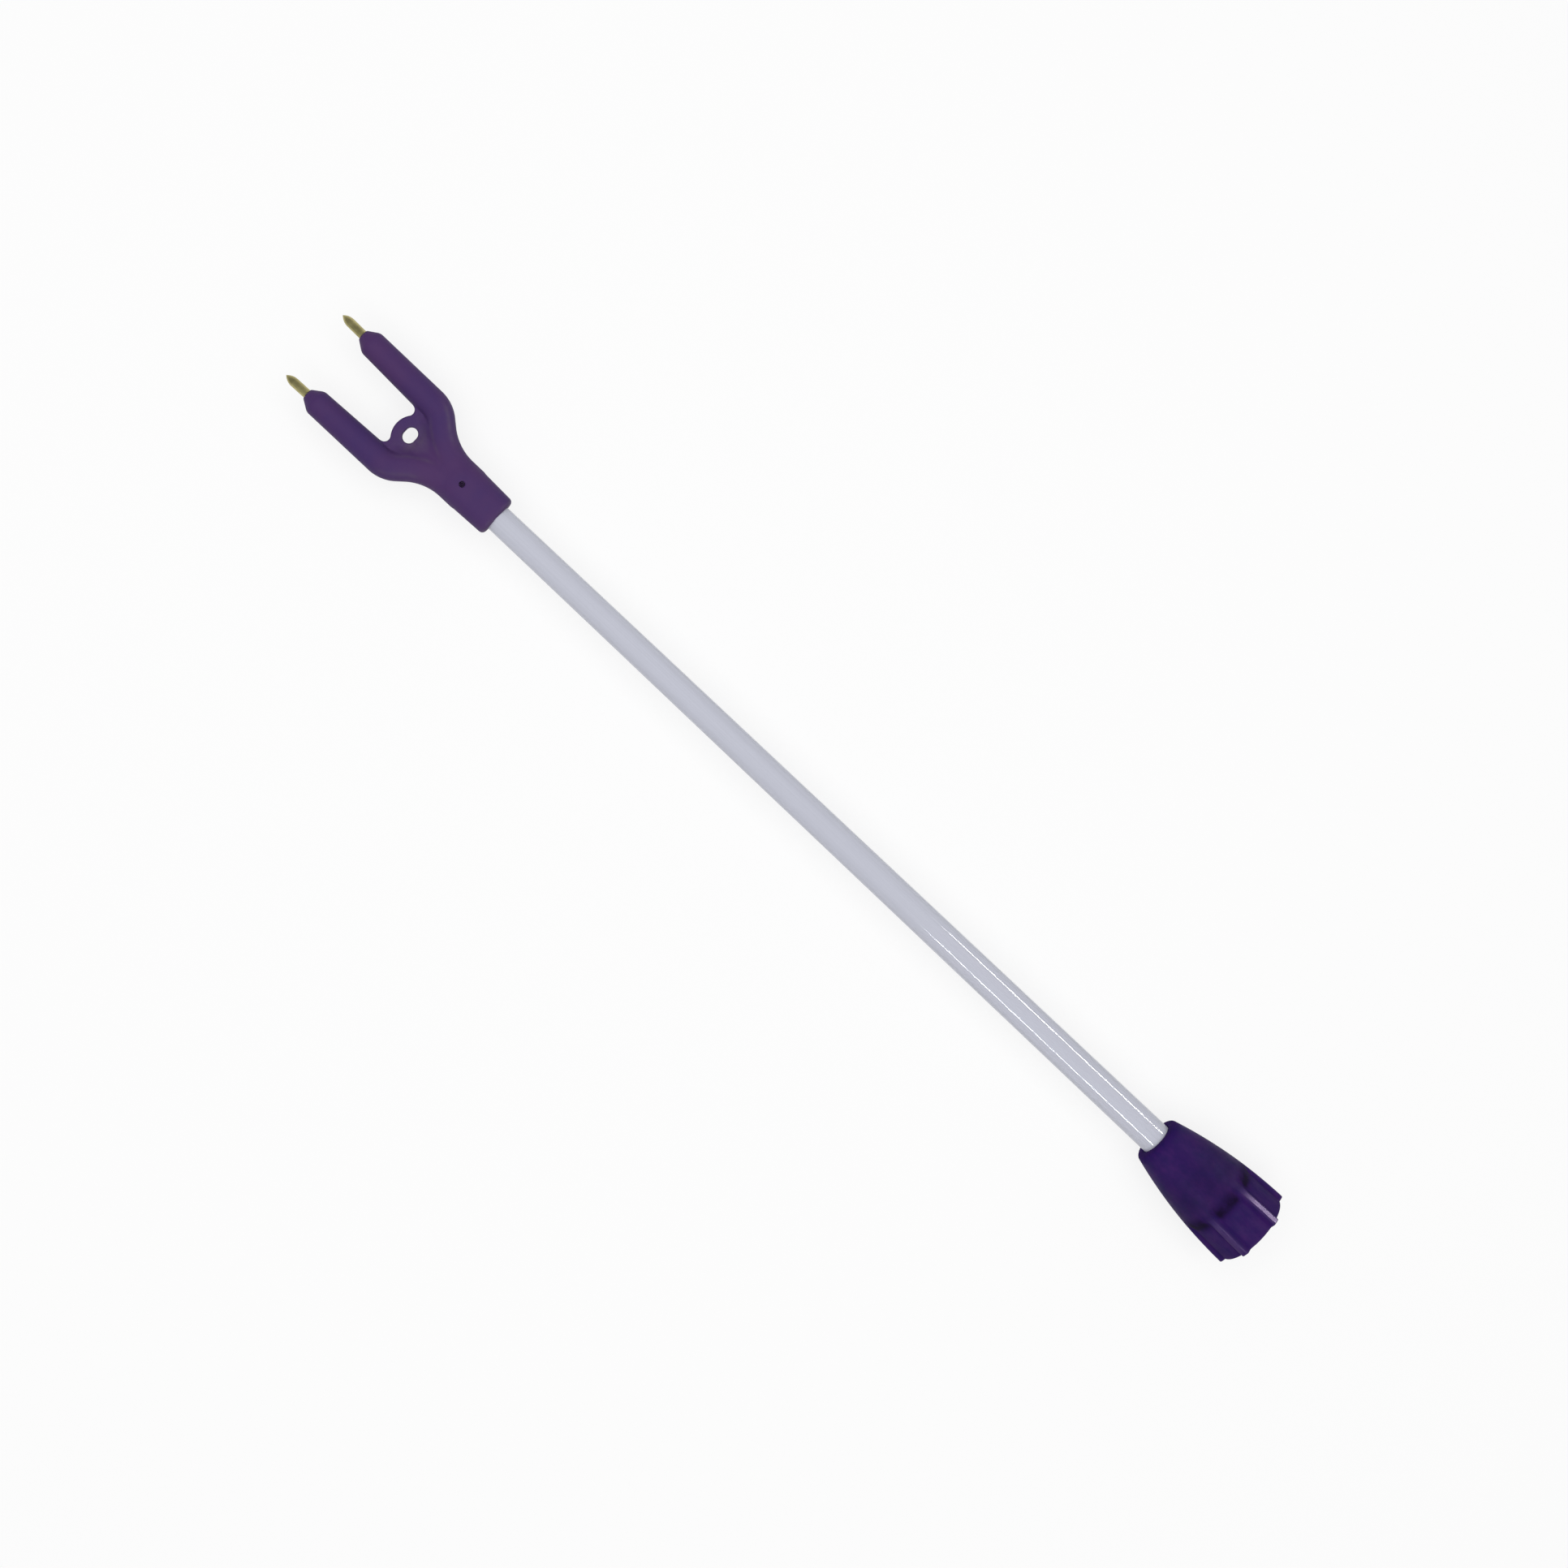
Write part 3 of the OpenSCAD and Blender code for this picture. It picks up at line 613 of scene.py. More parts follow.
def nut_painted_shade(points, s):
    """How much painted shade darkens the nut at each point: a lopsided bell along the shaft over
    the ramp, faded out on the ribs, and a faint painted shade that dies away towards the small end,
    so that the end looks lit from inside by the pale tube."""
    up_ramp, before, after, faint = 1.8, 2.3, 5.0, 0.3
    past = points[:, 0] - s.panel_long - up_ramp
    bell = np.exp(-((past / np.where(past < 0.0, before, after)) ** 2))
    bell = bell * smooth_step(0.10, 0.26, rib_offset(points, s))
    return np.maximum(bell, faint * smooth_step(-1.0, 3.0, past) * smooth_step(32.0, 12.0, past))


def nut_dull(points, s):
    """Where the mould leaves the nut matt: a fade past the panels with their ramps, cut off at the
    ribs, and a fade in at the small end. The larger of the two counts."""
    panel = smooth_step(9.0, 3.0, points[:, 0] - s.panel_long)
    panel = panel * smooth_step(0.06, 0.16, rib_offset(points, s))
    return np.maximum(panel, smooth_step(s.long - 4.0, s.long - 1.5, points[:, 0]))


def nut_wear_and_highlight(points, s):
    """How rubbed the nut is at each point: the ribs' crests, fading out along the body, where the
    paler tone is partly painted highlight, the outer edge of the mouth and, faintly, the panels."""
    x = points[:, 0]
    across = s.mouth_radius * rib_offset(points, s)
    outer = smooth_step(16.2, 16.8, np.hypot(points[:, 1], points[:, 2]))
    # rib crests: real rubbing, and partly a painted highlight
    crest = smooth_step(2.0, 0.9, across) * smooth_step(24.0, 12.0, x)
    edge = np.exp(-((x / 0.7) ** 2))
    panel = smooth_step(0.0, -4.0, x - s.panel_long) * smooth_step(3.0, 4.5, across)
    return outer * np.clip(0.85 * crest + 0.5 * edge + 0.22 * panel, 0.0, 1.0)


def tube_outline(s):
    """Closed outline of the tube as stations and radii: parallel under the nut, tapering to the
    fork, with small chamfers on both ends, and back along the bore."""
    taper = np.linspace(s.tube_parallel, s.tube_taper_end, 60)
    radius = s.tube_base + (s.tube_tip - s.tube_base) * (taper - taper[0]) / (taper[-1] - taper[0])
    x = np.concatenate([[s.tube_start, s.tube_start, s.tube_start + 0.3], taper,
                        [s.tube_end - 0.3, s.tube_end, s.tube_end],
                        np.linspace(s.tube_end, s.tube_start, 30)[1:-1]])
    r = np.concatenate([[s.tube_bore, s.tube_base - 0.3, s.tube_base], radius,
                        [s.tube_tip, s.tube_tip - 0.3, s.tube_bore], np.full(28, s.tube_bore)])
    return x, r


def electrode_outline(s, tine):
    """Outline of an electrode along its tine: a thin tail, a seat with a grip groove, a plain
    shank, and a point whose side is one arc of a circle ending in a small round nose."""
    r = s.electrode_radius
    seat = tine - s.electrode_seat
    groove = tine - s.electrode_seat / 2
    shoulder = tine + s.electrode_out - s.electrode_point
    arc = (s.electrode_point ** 2 + r ** 2) / (2 * r)
    h = np.linspace(0.0, 0.97 * s.electrode_point, 26)
    ogive = r - arc + np.sqrt(arc ** 2 - h ** 2)
    nose = np.linspace(0.3, 1.0, 7)[1:-1]
    end_h = 0.97 * s.electrode_point
    tip_x = shoulder + end_h + 0.03 * s.electrode_point * nose
    tip_r = ogive[-1] * np.sqrt(1.0 - nose ** 2)
    shank = np.linspace(groove + 1.5, shoulder, 30)[:-1]
    x = np.concatenate([[s.tail_start, s.tail_start + 0.2, seat, seat, seat + 0.3, groove - 1.5,
                         groove - 1.0, groove + 1.0], shank, shoulder + h, tip_x])
    radius = np.concatenate([[s.tail_radius - 0.2, s.tail_radius, s.tail_radius, r - 0.3, r, r,
                              r - 0.5, r - 0.5], np.full(len(shank), r), ogive, tip_r])
    return x, radius


def plunger_outline():
    """Outline of a sprung contact, as stations and radii: a domed tip that is a quarter of an
    oval, then straight lines along a shank, a shoulder and a spring spigot."""
    tip, dome_long, dome_foot, dome_rise = 14.8, 0.75, 0.35, 0.95
    a = np.linspace(0.12, np.pi / 2, 10)
    rest = np.array([[19.55, 1.3], [19.6, 1.95], [19.7, 2.0], [20.7, 2.0], [20.8, 1.95],
                     [20.8, 1.0], [22.8, 1.0], [23.0, 0.8]])
    x = np.concatenate([tip + dome_long * (1 - np.cos(a)), rest[:, 0]])
    r = np.concatenate([dome_foot + dome_rise * np.sin(a), rest[:, 1]])
    return x, r


def pin_surface(x, top, foot):
    """Slotted spring pin, standing on Z: rows of radius and height from the foot's centre up the
    side, over the rolled rim and down into the recess, with the rim let down across the slot."""
    columns, recess, slot_floor, slot_half = 48, 6.15, 6.3, 0.2
    angle = 2 * np.pi * np.arange(columns) / columns
    radius, height = np.array([
        [0.05, foot], [1.15, foot], [1.25, foot + 0.1], [1.25, 6.4], [1.25, top - 0.15],
        [1.18, top - 0.04], [1.05, top], [0.85, top], [0.72, top - 0.05], [0.68, top - 0.2],
        [0.66, 6.2], [0.05, recess]]).T
    slot = np.exp(-((((angle + np.pi) % (2 * np.pi) - np.pi) / slot_half) ** 4))
    rim = smooth_step(slot_floor, 6.6, height)
    z = height[:, None] - rim[:, None] * slot[None, :] * (height[:, None] - slot_floor)
    r = np.broadcast_to(radius[:, None], z.shape)
    points = np.stack([x + r * np.cos(angle), r * np.sin(angle), z], axis=-1).reshape(-1, 3)
    return capped(points, len(radius), columns, np.array([[x, 0.0, foot], [x, 0.0, recess]]))


def spring_surface(s):
    """Wound spring along X: a round wire carried along a helix that climbs slowly through its first
    and last turn and evenly between them."""
    steps, sides, end_pace = 30, 12, 0.34
    t = np.linspace(0.0, s.spring_turns, steps * s.spring_turns + 1)
    wire = s.spring_wire / 2
    inner = smooth_step(0.5, 1.2, t) * smooth_step(0.5, 1.2, s.spring_turns - t)
    pace = end_pace + (1.0 - end_pace) * inner
    climb = np.concatenate([[0.0], np.cumsum((pace[1:] + pace[:-1]) / 2)])
    along = wire + (s.spring_long - 2 * wire) * climb / climb[-1]
    turn = 2 * np.pi * t
    middle = np.stack([s.spring_start + along, s.spring_radius * np.cos(turn),
                       s.spring_radius * np.sin(turn)], axis=-1)
    out = np.stack([0 * turn, np.cos(turn), np.sin(turn)], axis=-1)
    b = 2 * np.pi * np.arange(sides)[None, :, None] / sides
    ring = np.cos(b) * out[:, None, :] + np.sin(b) * np.array([1.0, 0.0, 0.0])
    points = (middle[:, None, :] + wire * ring).reshape(-1, 3)
    return capped(points, len(t), sides, middle[[0, -1]])


# ---------------------------------------------------------------- meshes


def signed_volume(points, quads):
    """Sum of the volumes between the origin and each half of each face."""
    p = points[quads]
    one = np.einsum("ij,ij->i", p[:, 0], np.cross(p[:, 1], p[:, 2]))
    two = np.einsum("ij,ij->i", p[:, 0], np.cross(p[:, 2], p[:, 3]))
    return (one + two).sum() / 6.0


def new_piece(name, points, faces, material, body, slot, *nodes):
    """Puts points, in millimetres, and faces into a smooth mesh that faces outwards, rides on a
    CAD body and stands for CAD nodes."""
    quads, extra = faces if isinstance(faces, tuple) else (faces, np.zeros((0, 3), int))
    if signed_volume(points - points.mean(axis=0), quads) < 0:
        quads, extra = quads[:, ::-1], extra[:, ::-1]
    mesh = bpy.data.meshes.new(name)
    mesh.from_pydata((points * MM).tolist(), [], quads.tolist() + extra.tolist())
    mesh.polygons.foreach_set("use_smooth", np.ones(len(mesh.polygons), bool))
    mesh.materials.append(material)
    mesh.update()
    piece = bpy.data.objects.new(name, mesh)
    bpy.context.scene.collection.objects.link(piece)
    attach(piece, body)
    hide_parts(*nodes)
    return piece


def carry(piece, name, values):
    """Gives a piece's mesh a named value at each point."""
    attribute = piece.data.attributes.new(name, "FLOAT", "POINT")
    attribute.data.foreach_set("value", values.astype(np.float32))


def dress(material, *nodes):
    """Gives CAD nodes a finish."""
    for name in nodes:
        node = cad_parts[name]
        if not node.material_slots:
            raise RuntimeError(f"{name} has no material slot")
        for place in node.material_slots:
            place.material = material


# ---------------------------------------------------------------- finishes


def add_node(tree, kind, inputs=None, **settings):
    """Adds a shader node. An input, named or numbered, is set to a value or fed by an output."""
    node = tree.nodes.new("ShaderNode" + kind)
    for name, value in settings.items():
        setattr(node, name, value)
    for socket, value in (inputs or {}).items():
        if isinstance(value, bpy.types.NodeSocket):
            tree.links.new(value, node.inputs[socket])
        else:
            node.inputs[socket].default_value = value
    return node


class Finish:
    """Builds one material's nodes. Patterns read Object coordinates, in metres."""

    def __init__(self, name, **sockets):
        self.material = bpy.data.materials.new(name)
        self.material.use_nodes = True
        self.tree = self.material.node_tree
        self.shader = self.tree.nodes["Principled BSDF"]
        for socket, value in sockets.items():
            self.shader.inputs[socket.replace("_", " ")].default_value = value
        self.place = self.add("TexCoord").outputs["Object"]

    def add(self, kind, inputs=None, **settings):
        return add_node(self.tree, kind, inputs, **settings)

    def noise(self, stretch, detail=3.0, rough=0.5):
        """Noise whose scale per metre is one number, or one for each axis."""
        scale = stretch if isinstance(stretch, tuple) else (stretch,) * 3
        mapping = self.add("Mapping", {"Vector": self.place, "Scale": scale})
        texture = self.add("TexNoise", {"Vector": mapping.outputs["Vector"], "Scale": 1.0,
                                        "Detail": detail, "Roughness": rough})
        return texture.outputs["Fac"]

    def ramp(self, factor, *stops):
        """Colour ramp with stops of a place and a colour."""
        node = self.add("ValToRGB", {"Fac": factor})
        elements = node.color_ramp.elements
        while len(elements) < len(stops):
            elements.new(0.5)
        for element, (at, value) in zip(elements, stops):
            element.position = at
            element.color = (*value, 1.0)
        return node.outputs["Color"]

    def spread(self, factor, low, high):
        """Maps the middle of a noise to a range."""
        node = self.add("MapRange", {"Value": factor, "From Min": 0.3, "From Max": 0.7,
                                     "To Min": low, "To Max": high})
        return node.outputs["Result"]

    def value(self, name):
        """A value that the piece's mesh carries at each point."""
        return self.add("Attribute", attribute_name=name).outputs["Fac"]

    def over(self, factor, tone, value):
        """Lays a plain colour over another by a factor."""
        node = self.add("Mix", data_type="RGBA", inputs={0: factor, 6: tone, 7: (*value, 1.0)})
        return node.outputs[2]

    def toward(self, factor, number, target):
        """Moves a number towards a target by a factor."""
        return self.add("Mix", {0: factor, 2: number, 3: target}).outputs[0]

    def patchy(self, name, stretch, low, high):
        """A value that the mesh carries, broken into patches by noise."""
        patches = self.spread(self.noise(stretch, 4.0, 0.6), low, high)
        node = self.add("Math", {0: self.value(name), 1: patches}, operation="MULTIPLY",
                        use_clamp=True)
        return node.outputs[0]

    def feed(self, socket, output):
        self.tree.links.new(output, self.shader.inputs[socket])

    def base(self, output):
        self.feed("Base Color", output)

    def roughness(self, output):
        self.feed("Roughness", output)

    def bump(self, height, depth):
        """Bump of a depth in metres."""
        node = self.add("Bump", {"Strength": 1.0, "Distance": depth, "Height": height})
        self.feed("Normal", node.outputs["Normal"])


# Colours, in linear light, of rubbed plastic, which also serve as painted highlight, and of the
# small and hidden pieces
FORK_BLOOM_AND_HIGHLIGHT = (0.098, 0.070, 0.118)
RUBBED_VIOLET_AND_HIGHLIGHT = (0.078, 0.046, 0.140)
SPRING_STEEL = (0.60, 0.60, 0.62)
PLATED_STEEL = (0.55, 0.55, 0.56)
COPPER = (0.70, 0.33, 0.18)
PIN_BLACK = (0.018, 0.006, 0.033)
SEAL_BLACK = (0.010, 0.010, 0.010)
WASHER_WHITE = (0.72, 0.71, 0.66)
LEAD_RED = (0.36, 0.016, 0.014)
LEAD_BLACK = (0.014, 0.014, 0.015)


def shade(value, by):
    """A colour made lighter or darker by a factor."""
    return tuple(min(1.0, c * by) for c in value)


def tint(value, *by):
    """A colour with each channel changed by its own factor."""
    return tuple(c * b for c, b in zip(value, by))


def moulded_plastic(name, value, low, high, grain, depth, mottle):
    """Moulded plastic: fine grain in the surface, a slow drift of colour and of gloss."""
    f = Finish(name, Specular_IOR_Level=0.2)
    drift = f.noise(55.0, 4.0)
    f.base(f.ramp(drift, (0.3, shade(value, 1 - mottle)), (0.7, shade(value, 1 + mottle))))
    f.roughness(f.spread(f.noise(180.0), low, high))
    f.bump(f.noise(grain, rough=0.6), depth)
    return f.material


def matt_purple(value):
    """Matt purple moulding: a blue to red drift of colour, fine grain, and a grey bloom where the
    piece's own carried value says that hooks and hands have rubbed it, and as painted highlight
    along each arm's bend."""
    f = Finish("fork_purple", Specular_IOR_Level=0.1)
    drift = f.noise(38.0, 4.0, 0.6)
    blue, red = tint(value, 0.86, 0.93, 1.02), tint(value, 1.15, 1.08, 1.0)
    tone = f.ramp(drift, (0.32, blue), (0.5, value), (0.68, red))
    # grey bloom of real rubbing, and painted highlight along the arms' bends
    f.base(f.over(f.patchy("worn", 260.0, 0.25, 1.0), tone, FORK_BLOOM_AND_HIGHLIGHT))
    f.roughness(f.spread(f.noise(180.0), 0.48, 0.60))
    f.bump(f.noise(900.0, rough=0.6), 0.000025)
    return f.material


def clear_violet(value):
    """Deep violet moulding: clouds that drift between blue and red, patches of painted shade over
    the ramps and fading towards the small end, polished crests and matt ramps, and a paler violet
    on the rubbed crests and mouth, which on the crests is partly painted highlight."""
    f = Finish("nut_violet", Specular_IOR_Level=0.1, Specular_Tint=(0.82, 0.66, 1.0, 1.0))
    cloud = f.noise((130.0, 190.0, 190.0), 5.0, 0.6)
    blue, red = tint(value, 0.55, 0.9, 0.88), tint(value, 1.55, 1.35, 1.12)
    clouds = f.ramp(cloud, (0.3, blue), (0.52, value), (0.72, red))
    # painted shade: the carried shade value, broken into patches, pulls the clouds towards a dark
    # violet
    shade_patches = f.patchy("wall_depth", (170.0, 230.0, 230.0), 0.5, 1.25)
    shaded_clouds = f.over(shade_patches, clouds, shade(value, 0.22))
    # paler violet where rubbed; on the rib crests it is partly a painted highlight
    f.base(f.over(f.patchy("worn", (150.0, 420.0, 420.0), 0.25, 1.0), shaded_clouds, RUBBED_VIOLET_AND_HIGHLIGHT))
    satin = f.spread(f.noise(240.0), 0.54, 0.68)
    f.roughness(f.toward(f.value("dull"), f.toward(f.value("worn"), satin, 0.10), 0.9))
    f.bump(f.noise(300.0, 2.0), 0.000006)
    return f.material


def glass_fibre(value):
    """Drawn glass fibre: long fine streaks along the tube under a glossy resin skin."""
    f = Finish("pale_glass_fibre", Specular_IOR_Level=0.25)
    streak = f.noise((5.0, 1300.0, 1300.0), 4.0, 0.6)
    f.base(f.ramp(streak, (0.25, shade(value, 0.94)), (0.75, shade(value, 1.05))))
    f.roughness(f.spread(f.noise((14.0, 500.0, 500.0)), 0.06, 0.11))
    f.bump(streak, 0.0000006)
    return f.material


def turned_metal(name, value, low, high):
    """Turned metal: fine rings spaced along the shaft and a faint tarnish."""
    f = Finish(name, Metallic=1.0)
    tarnish = f.noise(260.0, 4.0)
    f.base(f.ramp(tarnish, (0.3, shade(value, 0.8)), (0.7, shade(value, 1.12))))
    f.roughness(f.spread(f.noise((900.0, 300.0, 300.0)), low, high))
    f.bump(f.noise((2600.0, 30.0, 30.0), 2.0), 0.00001)
    return f.material


def dusty_black(name, value):
    """Matt black rubber or steel with a fine grain and a bloom of paler dust."""
    f = Finish(name, Specular_IOR_Level=0.25)
    dust = f.noise(400.0, 5.0, 0.6)
    f.base(f.ramp(dust, (0.4, value), (0.8, tuple(c + 0.012 for c in value))))
    f.roughness(f.spread(dust, 0.6, 0.8))
    f.bump(f.noise(2500.0, 2.0), 0.00002)
    return f.material


# ---------------------------------------------------------------- operators

# Stage, in metres and linear light
WHITE = (1.0, 1.0, 1.0, 1.0)
FLOOR_GREY = (0.9, 0.9, 0.9, 1.0)
FLOOR_GAP = 0.0001
CEILING = 0.28
STRIP_AIM = (0.1, 0.0, 0.0)
ROLL_COS, ROLL_SIN = 0.727222, 0.686402


class PRODSHAFT_OT_stage(Operator):
    """Make the floor, the soft light and the camera"""
    bl_idname = "prodshaft.stage"
    bl_label = "Stage"

    def execute(self, context):
        s = context.scene.prod_shaft.stage
        scene = context.scene
        scene.view_settings.view_transform = "Standard"
        self.floor()
        self.world(scene, s.fill)
        self.lights(scene, s)
        self.camera(scene, s)
        return {"FINISHED"}

    @staticmethod
    def seen_rays(tree):
        """1 for rays from the camera, from gloss and through glass, and 0 for the rest."""
        path = add_node(tree, "LightPath")
        total = path.outputs["Is Camera Ray"]
        for name in ("Is Glossy Ray", "Is Transmission Ray"):
            total = add_node(tree, "Math", {0: total, 1: path.outputs[name]},
                             operation="MAXIMUM").outputs[0]
        return total

    def floor(self):
        """A plain level sheet just under the nut's belly, so that the nut clears it wherever it
        slides. It glows more with distance, and so meets the white world without a line."""
        x = np.array([-4.0, 5.0, 5.0, -4.0])
        y = np.array([-4.5, -4.5, 4.5, 4.5])
        z = np.full(4, CAD_BOX[0][2] - FLOOR_GAP)
        mesh = bpy.data.meshes.new("floor")
        mesh.from_pydata(np.stack([x, y, z], -1).tolist(), [], [[0, 1, 2, 3]])
        floor = bpy.data.objects.new("floor", mesh)
        bpy.context.scene.collection.objects.link(floor)
        material = bpy.data.materials.new("pale_floor")
        material.use_nodes = True
        tree = material.node_tree
        tree.nodes.remove(tree.nodes["Principled BSDF"])
        diffuse = add_node(tree, "BsdfDiffuse", {"Color": FLOOR_GREY})
        glow = add_node(tree, "Emission", {"Color": WHITE, "Strength": 1.0})
        place = add_node(tree, "TexCoord").outputs["Object"]
        away = add_node(tree, "VectorMath", {0: place}, operation="LENGTH").outputs["Value"]
        fade = add_node(tree, "MapRange", {"Value": away, "From Min": 0.9, "From Max": 2.8,
                                           "To Min": 0.8, "To Max": 1.0},
                        interpolation_type="SMOOTHSTEP").outputs["Result"]
        share = add_node(tree, "Math", {0: self.seen_rays(tree), 1: fade}, operation="MULTIPLY")
        mix = add_node(tree, "MixShader", {0: share.outputs[0], 1: diffuse.outputs[0],
                                           2: glow.outputs[0]})
        tree.links.new(mix.outputs[0], tree.nodes["Material Output"].inputs["Surface"])
        mesh.materials.append(material)

    def world(self, scene, fill):
        """White to the camera everywhere and to gloss low down, an even fill low down for other
        rays, and a dim ceiling for all rays but the camera's."""
        world = bpy.data.worlds.new("studio")
        world.use_nodes = True
        scene.world = world
        tree = world.node_tree
        lift = add_node(tree, "MapRange", {"Value": self.seen_rays(tree), "To Min": fill,
                                           "To Max": 1.0}).outputs["Result"]
        place = add_node(tree, "TexCoord").outputs["Generated"]
        height = add_node(tree, "SeparateXYZ", {0: place}).outputs["Z"]
        over = add_node(tree, "MapRange", {"Value": height, "From Min": 0.02, "From Max": 0.30},
                        interpolation_type="SMOOTHSTEP").outputs["Result"]
        camera = add_node(tree, "LightPath").outputs["Is Camera Ray"]
        unseen = add_node(tree, "Math", {0: over, 1: camera}, operation="SUBTRACT",
                          use_clamp=True).outputs[0]
        mix = add_node(tree, "Mix", {0: unseen, 2: lift, 3: CEILING}).outputs[0]
        background = tree.nodes["Background"]
        background.inputs["Color"].default_value = WHITE
        tree.links.new(mix, background.inputs["Strength"])

    @staticmethod
    def area(scene, name, place, aim, wide, long, power, tint):
        """A rectangular lamp whose long side lies along the shaft."""
        data = bpy.data.lights.new(name, "AREA")
        data.shape = "RECTANGLE"
        data.size, data.size_y = long, wide
        data.energy = power
        data.color = tint
        lamp = bpy.data.objects.new(name, data)
        scene.collection.objects.link(lamp)
        back = np.array(place) - np.array(aim)
        back = back / np.linalg.norm(back)
        along = np.array([1.0, 0.0, 0.0]) - back[0] * back
        along = along / np.linalg.norm(along)
        turn = np.eye(4)
        turn[:3, 0], turn[:3, 1], turn[:3, 2] = along, np.cross(back, along), back
        turn[:3, 3] = place
        lamp.matrix_world = Matrix(turn.tolist())
        return lamp

    def lights(self, scene, s):
        """A large light overhead, kept out of the gloss, and two narrow ones in the gloss alone."""
        top = self.area(scene, "top_light", (0.42, 0.0, 1.7), (0.42, 0.0, 0.0), 2.2, 2.4,
                        s.top_power, (1.0, 1.0, 1.0))
        top.visible_glossy = False
        right = self.area(scene, "strip_right", (-0.26, -0.86, 0.48), STRIP_AIM, 0.10, 0.52,
                          s.strip_power, (1.0, 0.97, 0.93))
        left = self.area(scene, "strip_left", (-0.26, 0.72, 0.745), STRIP_AIM, 0.07, 0.52,
                         s.strip_power, (0.94, 0.96, 1.0))
        right.visible_diffuse = left.visible_diffuse = False

    def camera(self, scene, s):
        """Looks down on the shaft from above the fork half, leaning a little towards the nut."""
        data = bpy.data.cameras.new("camera")
        data.sensor_fit = "HORIZONTAL"
        data.sensor_width = 36.0
        data.lens = s.lens
        data.clip_start, data.clip_end = 0.01, 50.0
        camera = bpy.data.objects.new("camera", data)
        scene.collection.objects.link(camera)
        b = s.tilt
        along = np.array([-math.cos(b), 0.0, math.sin(b)])
        across = np.array([0.0, -1.0, 0.0])
        turn = np.eye(4)
        turn[:3, 0] = ROLL_COS * along + ROLL_SIN * across
        turn[:3, 1] = -ROLL_SIN * along + ROLL_COS * across
        turn[:3, 2] = [math.sin(b), 0.0, math.cos(b)]
        turn[:3, 3] = [s.station, s.side, s.height]
        camera.matrix_world = Matrix(turn.tolist())
        scene.camera = camera


class PRODSHAFT_OT_fork(Operator):
    """Mould the fork head"""
    bl_idname = "prodshaft.fork"
    bl_label = "Fork head"

    def execute(self, context):
        settings = context.scene.prod_shaft
        s = Millimetres(settings.fork)
        low, high = (np.array(corner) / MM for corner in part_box("fork_head"))
        pad = 2.2 * s.step
        points, faces = field_surface(lambda p: fork_field(p, s), low - pad, high + pad, s.step)
        purple = matt_purple(tuple(settings.finish.fork))
        fork = new_piece("fork_head_moulding", points, faces, purple, "shaft", "fork_plastic",
                         "fork_head")
        # rubbing, and painted highlight lines along the arms
        carry(fork, "worn", fork_wear_and_highlight(points, s))
        return {"FINISHED"}


class PRODSHAFT_OT_nut(Operator):
    """Mould the coupling nut with its ribs and inner thread"""
    bl_idname = "prodshaft.nut"
    bl_label = "Coupling nut"

    def execute(self, context):
        settings = context.scene.prod_shaft
        s = Millimetres(settings.nut)
        points, faces = nut_surface(s)
        violet = clear_violet(tuple(settings.finish.nut))
        nut = new_piece("coupling_nut_moulding", points, faces, violet, "nut", "nut_plastic",
                        "coupling_nut")
        # painted shade over the ramps and, faintly, along the body
        carry(nut, "wall_depth", nut_painted_shade(points, s))
        carry(nut, "dull", nut_dull(points, s))
        # rubbing, and partly painted highlight on the rib crests
        carry(nut, "worn", nut_wear_and_highlight(points, s))
        return {"FINISHED"}


class PRODSHAFT_OT_tube(Operator):
    """Draw the glass-fibre tube"""
    bl_idname = "prodshaft.tube"
    bl_label = "Shaft tube"

    def execute(self, context):
        settings = context.scene.prod_shaft
        s = Millimetres(settings.shaft)
        points, faces = turned(*tube_outline(s), 128)
        pale = glass_fibre(tuple(settings.finish.tube))
        new_piece("shaft_tube_drawn", points, faces, pale, "shaft", "glass_fibre", "shaft_tube")
        return {"FINISHED"}


class PRODSHAFT_OT_electrodes(Operator):
    """Turn the two electrodes and set them in the tines"""
    bl_idname = "prodshaft.electrodes"
    bl_label = "Electrodes"

    def execute(self, context):
        settings = context.scene.prod_shaft
        fork = Millimetres(settings.fork)
        s = Millimetres(settings.shaft)
        points, faces = turned_solid(*electrode_outline(s, fork.tine), 64)
        tx, ty = tine_root(fork)
        c, n = math.cos(fork.splay), math.sin(fork.splay)
        placed = np.stack([tx + points[:, 0] * c - points[:, 1] * n,
                           ty + points[:, 0] * n + points[:, 1] * c, points[:, 2]], -1)
        material = turned_metal("dull_brass", tuple(settings.finish.brass), 0.40, 0.52)
        for side, sign in SIDES:
            new_piece(f"electrode_{side}_turned", placed * (1.0, sign, 1.0), faces, material,
                      "shaft", "electrode_brass", f"electrode_{side}")
        return {"FINISHED"}


class PRODSHAFT_OT_contacts(Operator):
    """Turn the two sprung contacts and wind their springs"""
    bl_idname = "prodshaft.contacts"
    bl_label = "Sprung contacts"

    def execute(self, context):
        settings = context.scene.prod_shaft
        s = Millimetres(settings.shaft)
        brass = turned_metal("bright_brass", tuple(settings.finish.contact), 0.18, 0.3)
        steel = turned_metal("spring_bright_steel", SPRING_STEEL, 0.2, 0.32)
        pin, pin_faces = turned_solid(*plunger_outline(), 48)
        coil, coil_faces = spring_surface(s)
        for side, sign in SIDES:
            off = np.array([0.0, sign * s.contact_offset, 0.0])
            new_piece(f"contact_plunger_{side}_turned", pin + off, pin_faces, brass,
                      f"contact_{side}", "contact_brass", f"contact_plunger_{side}")
            spring = new_piece(f"contact_spring_{side}_wound", coil + off, coil_faces, steel,
                               "shaft", "spring_steel", f"contact_spring_{side}")
            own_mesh(spring)
        dress(brass, "contact_terminal_left", "contact_terminal_right")
        return {"FINISHED"}


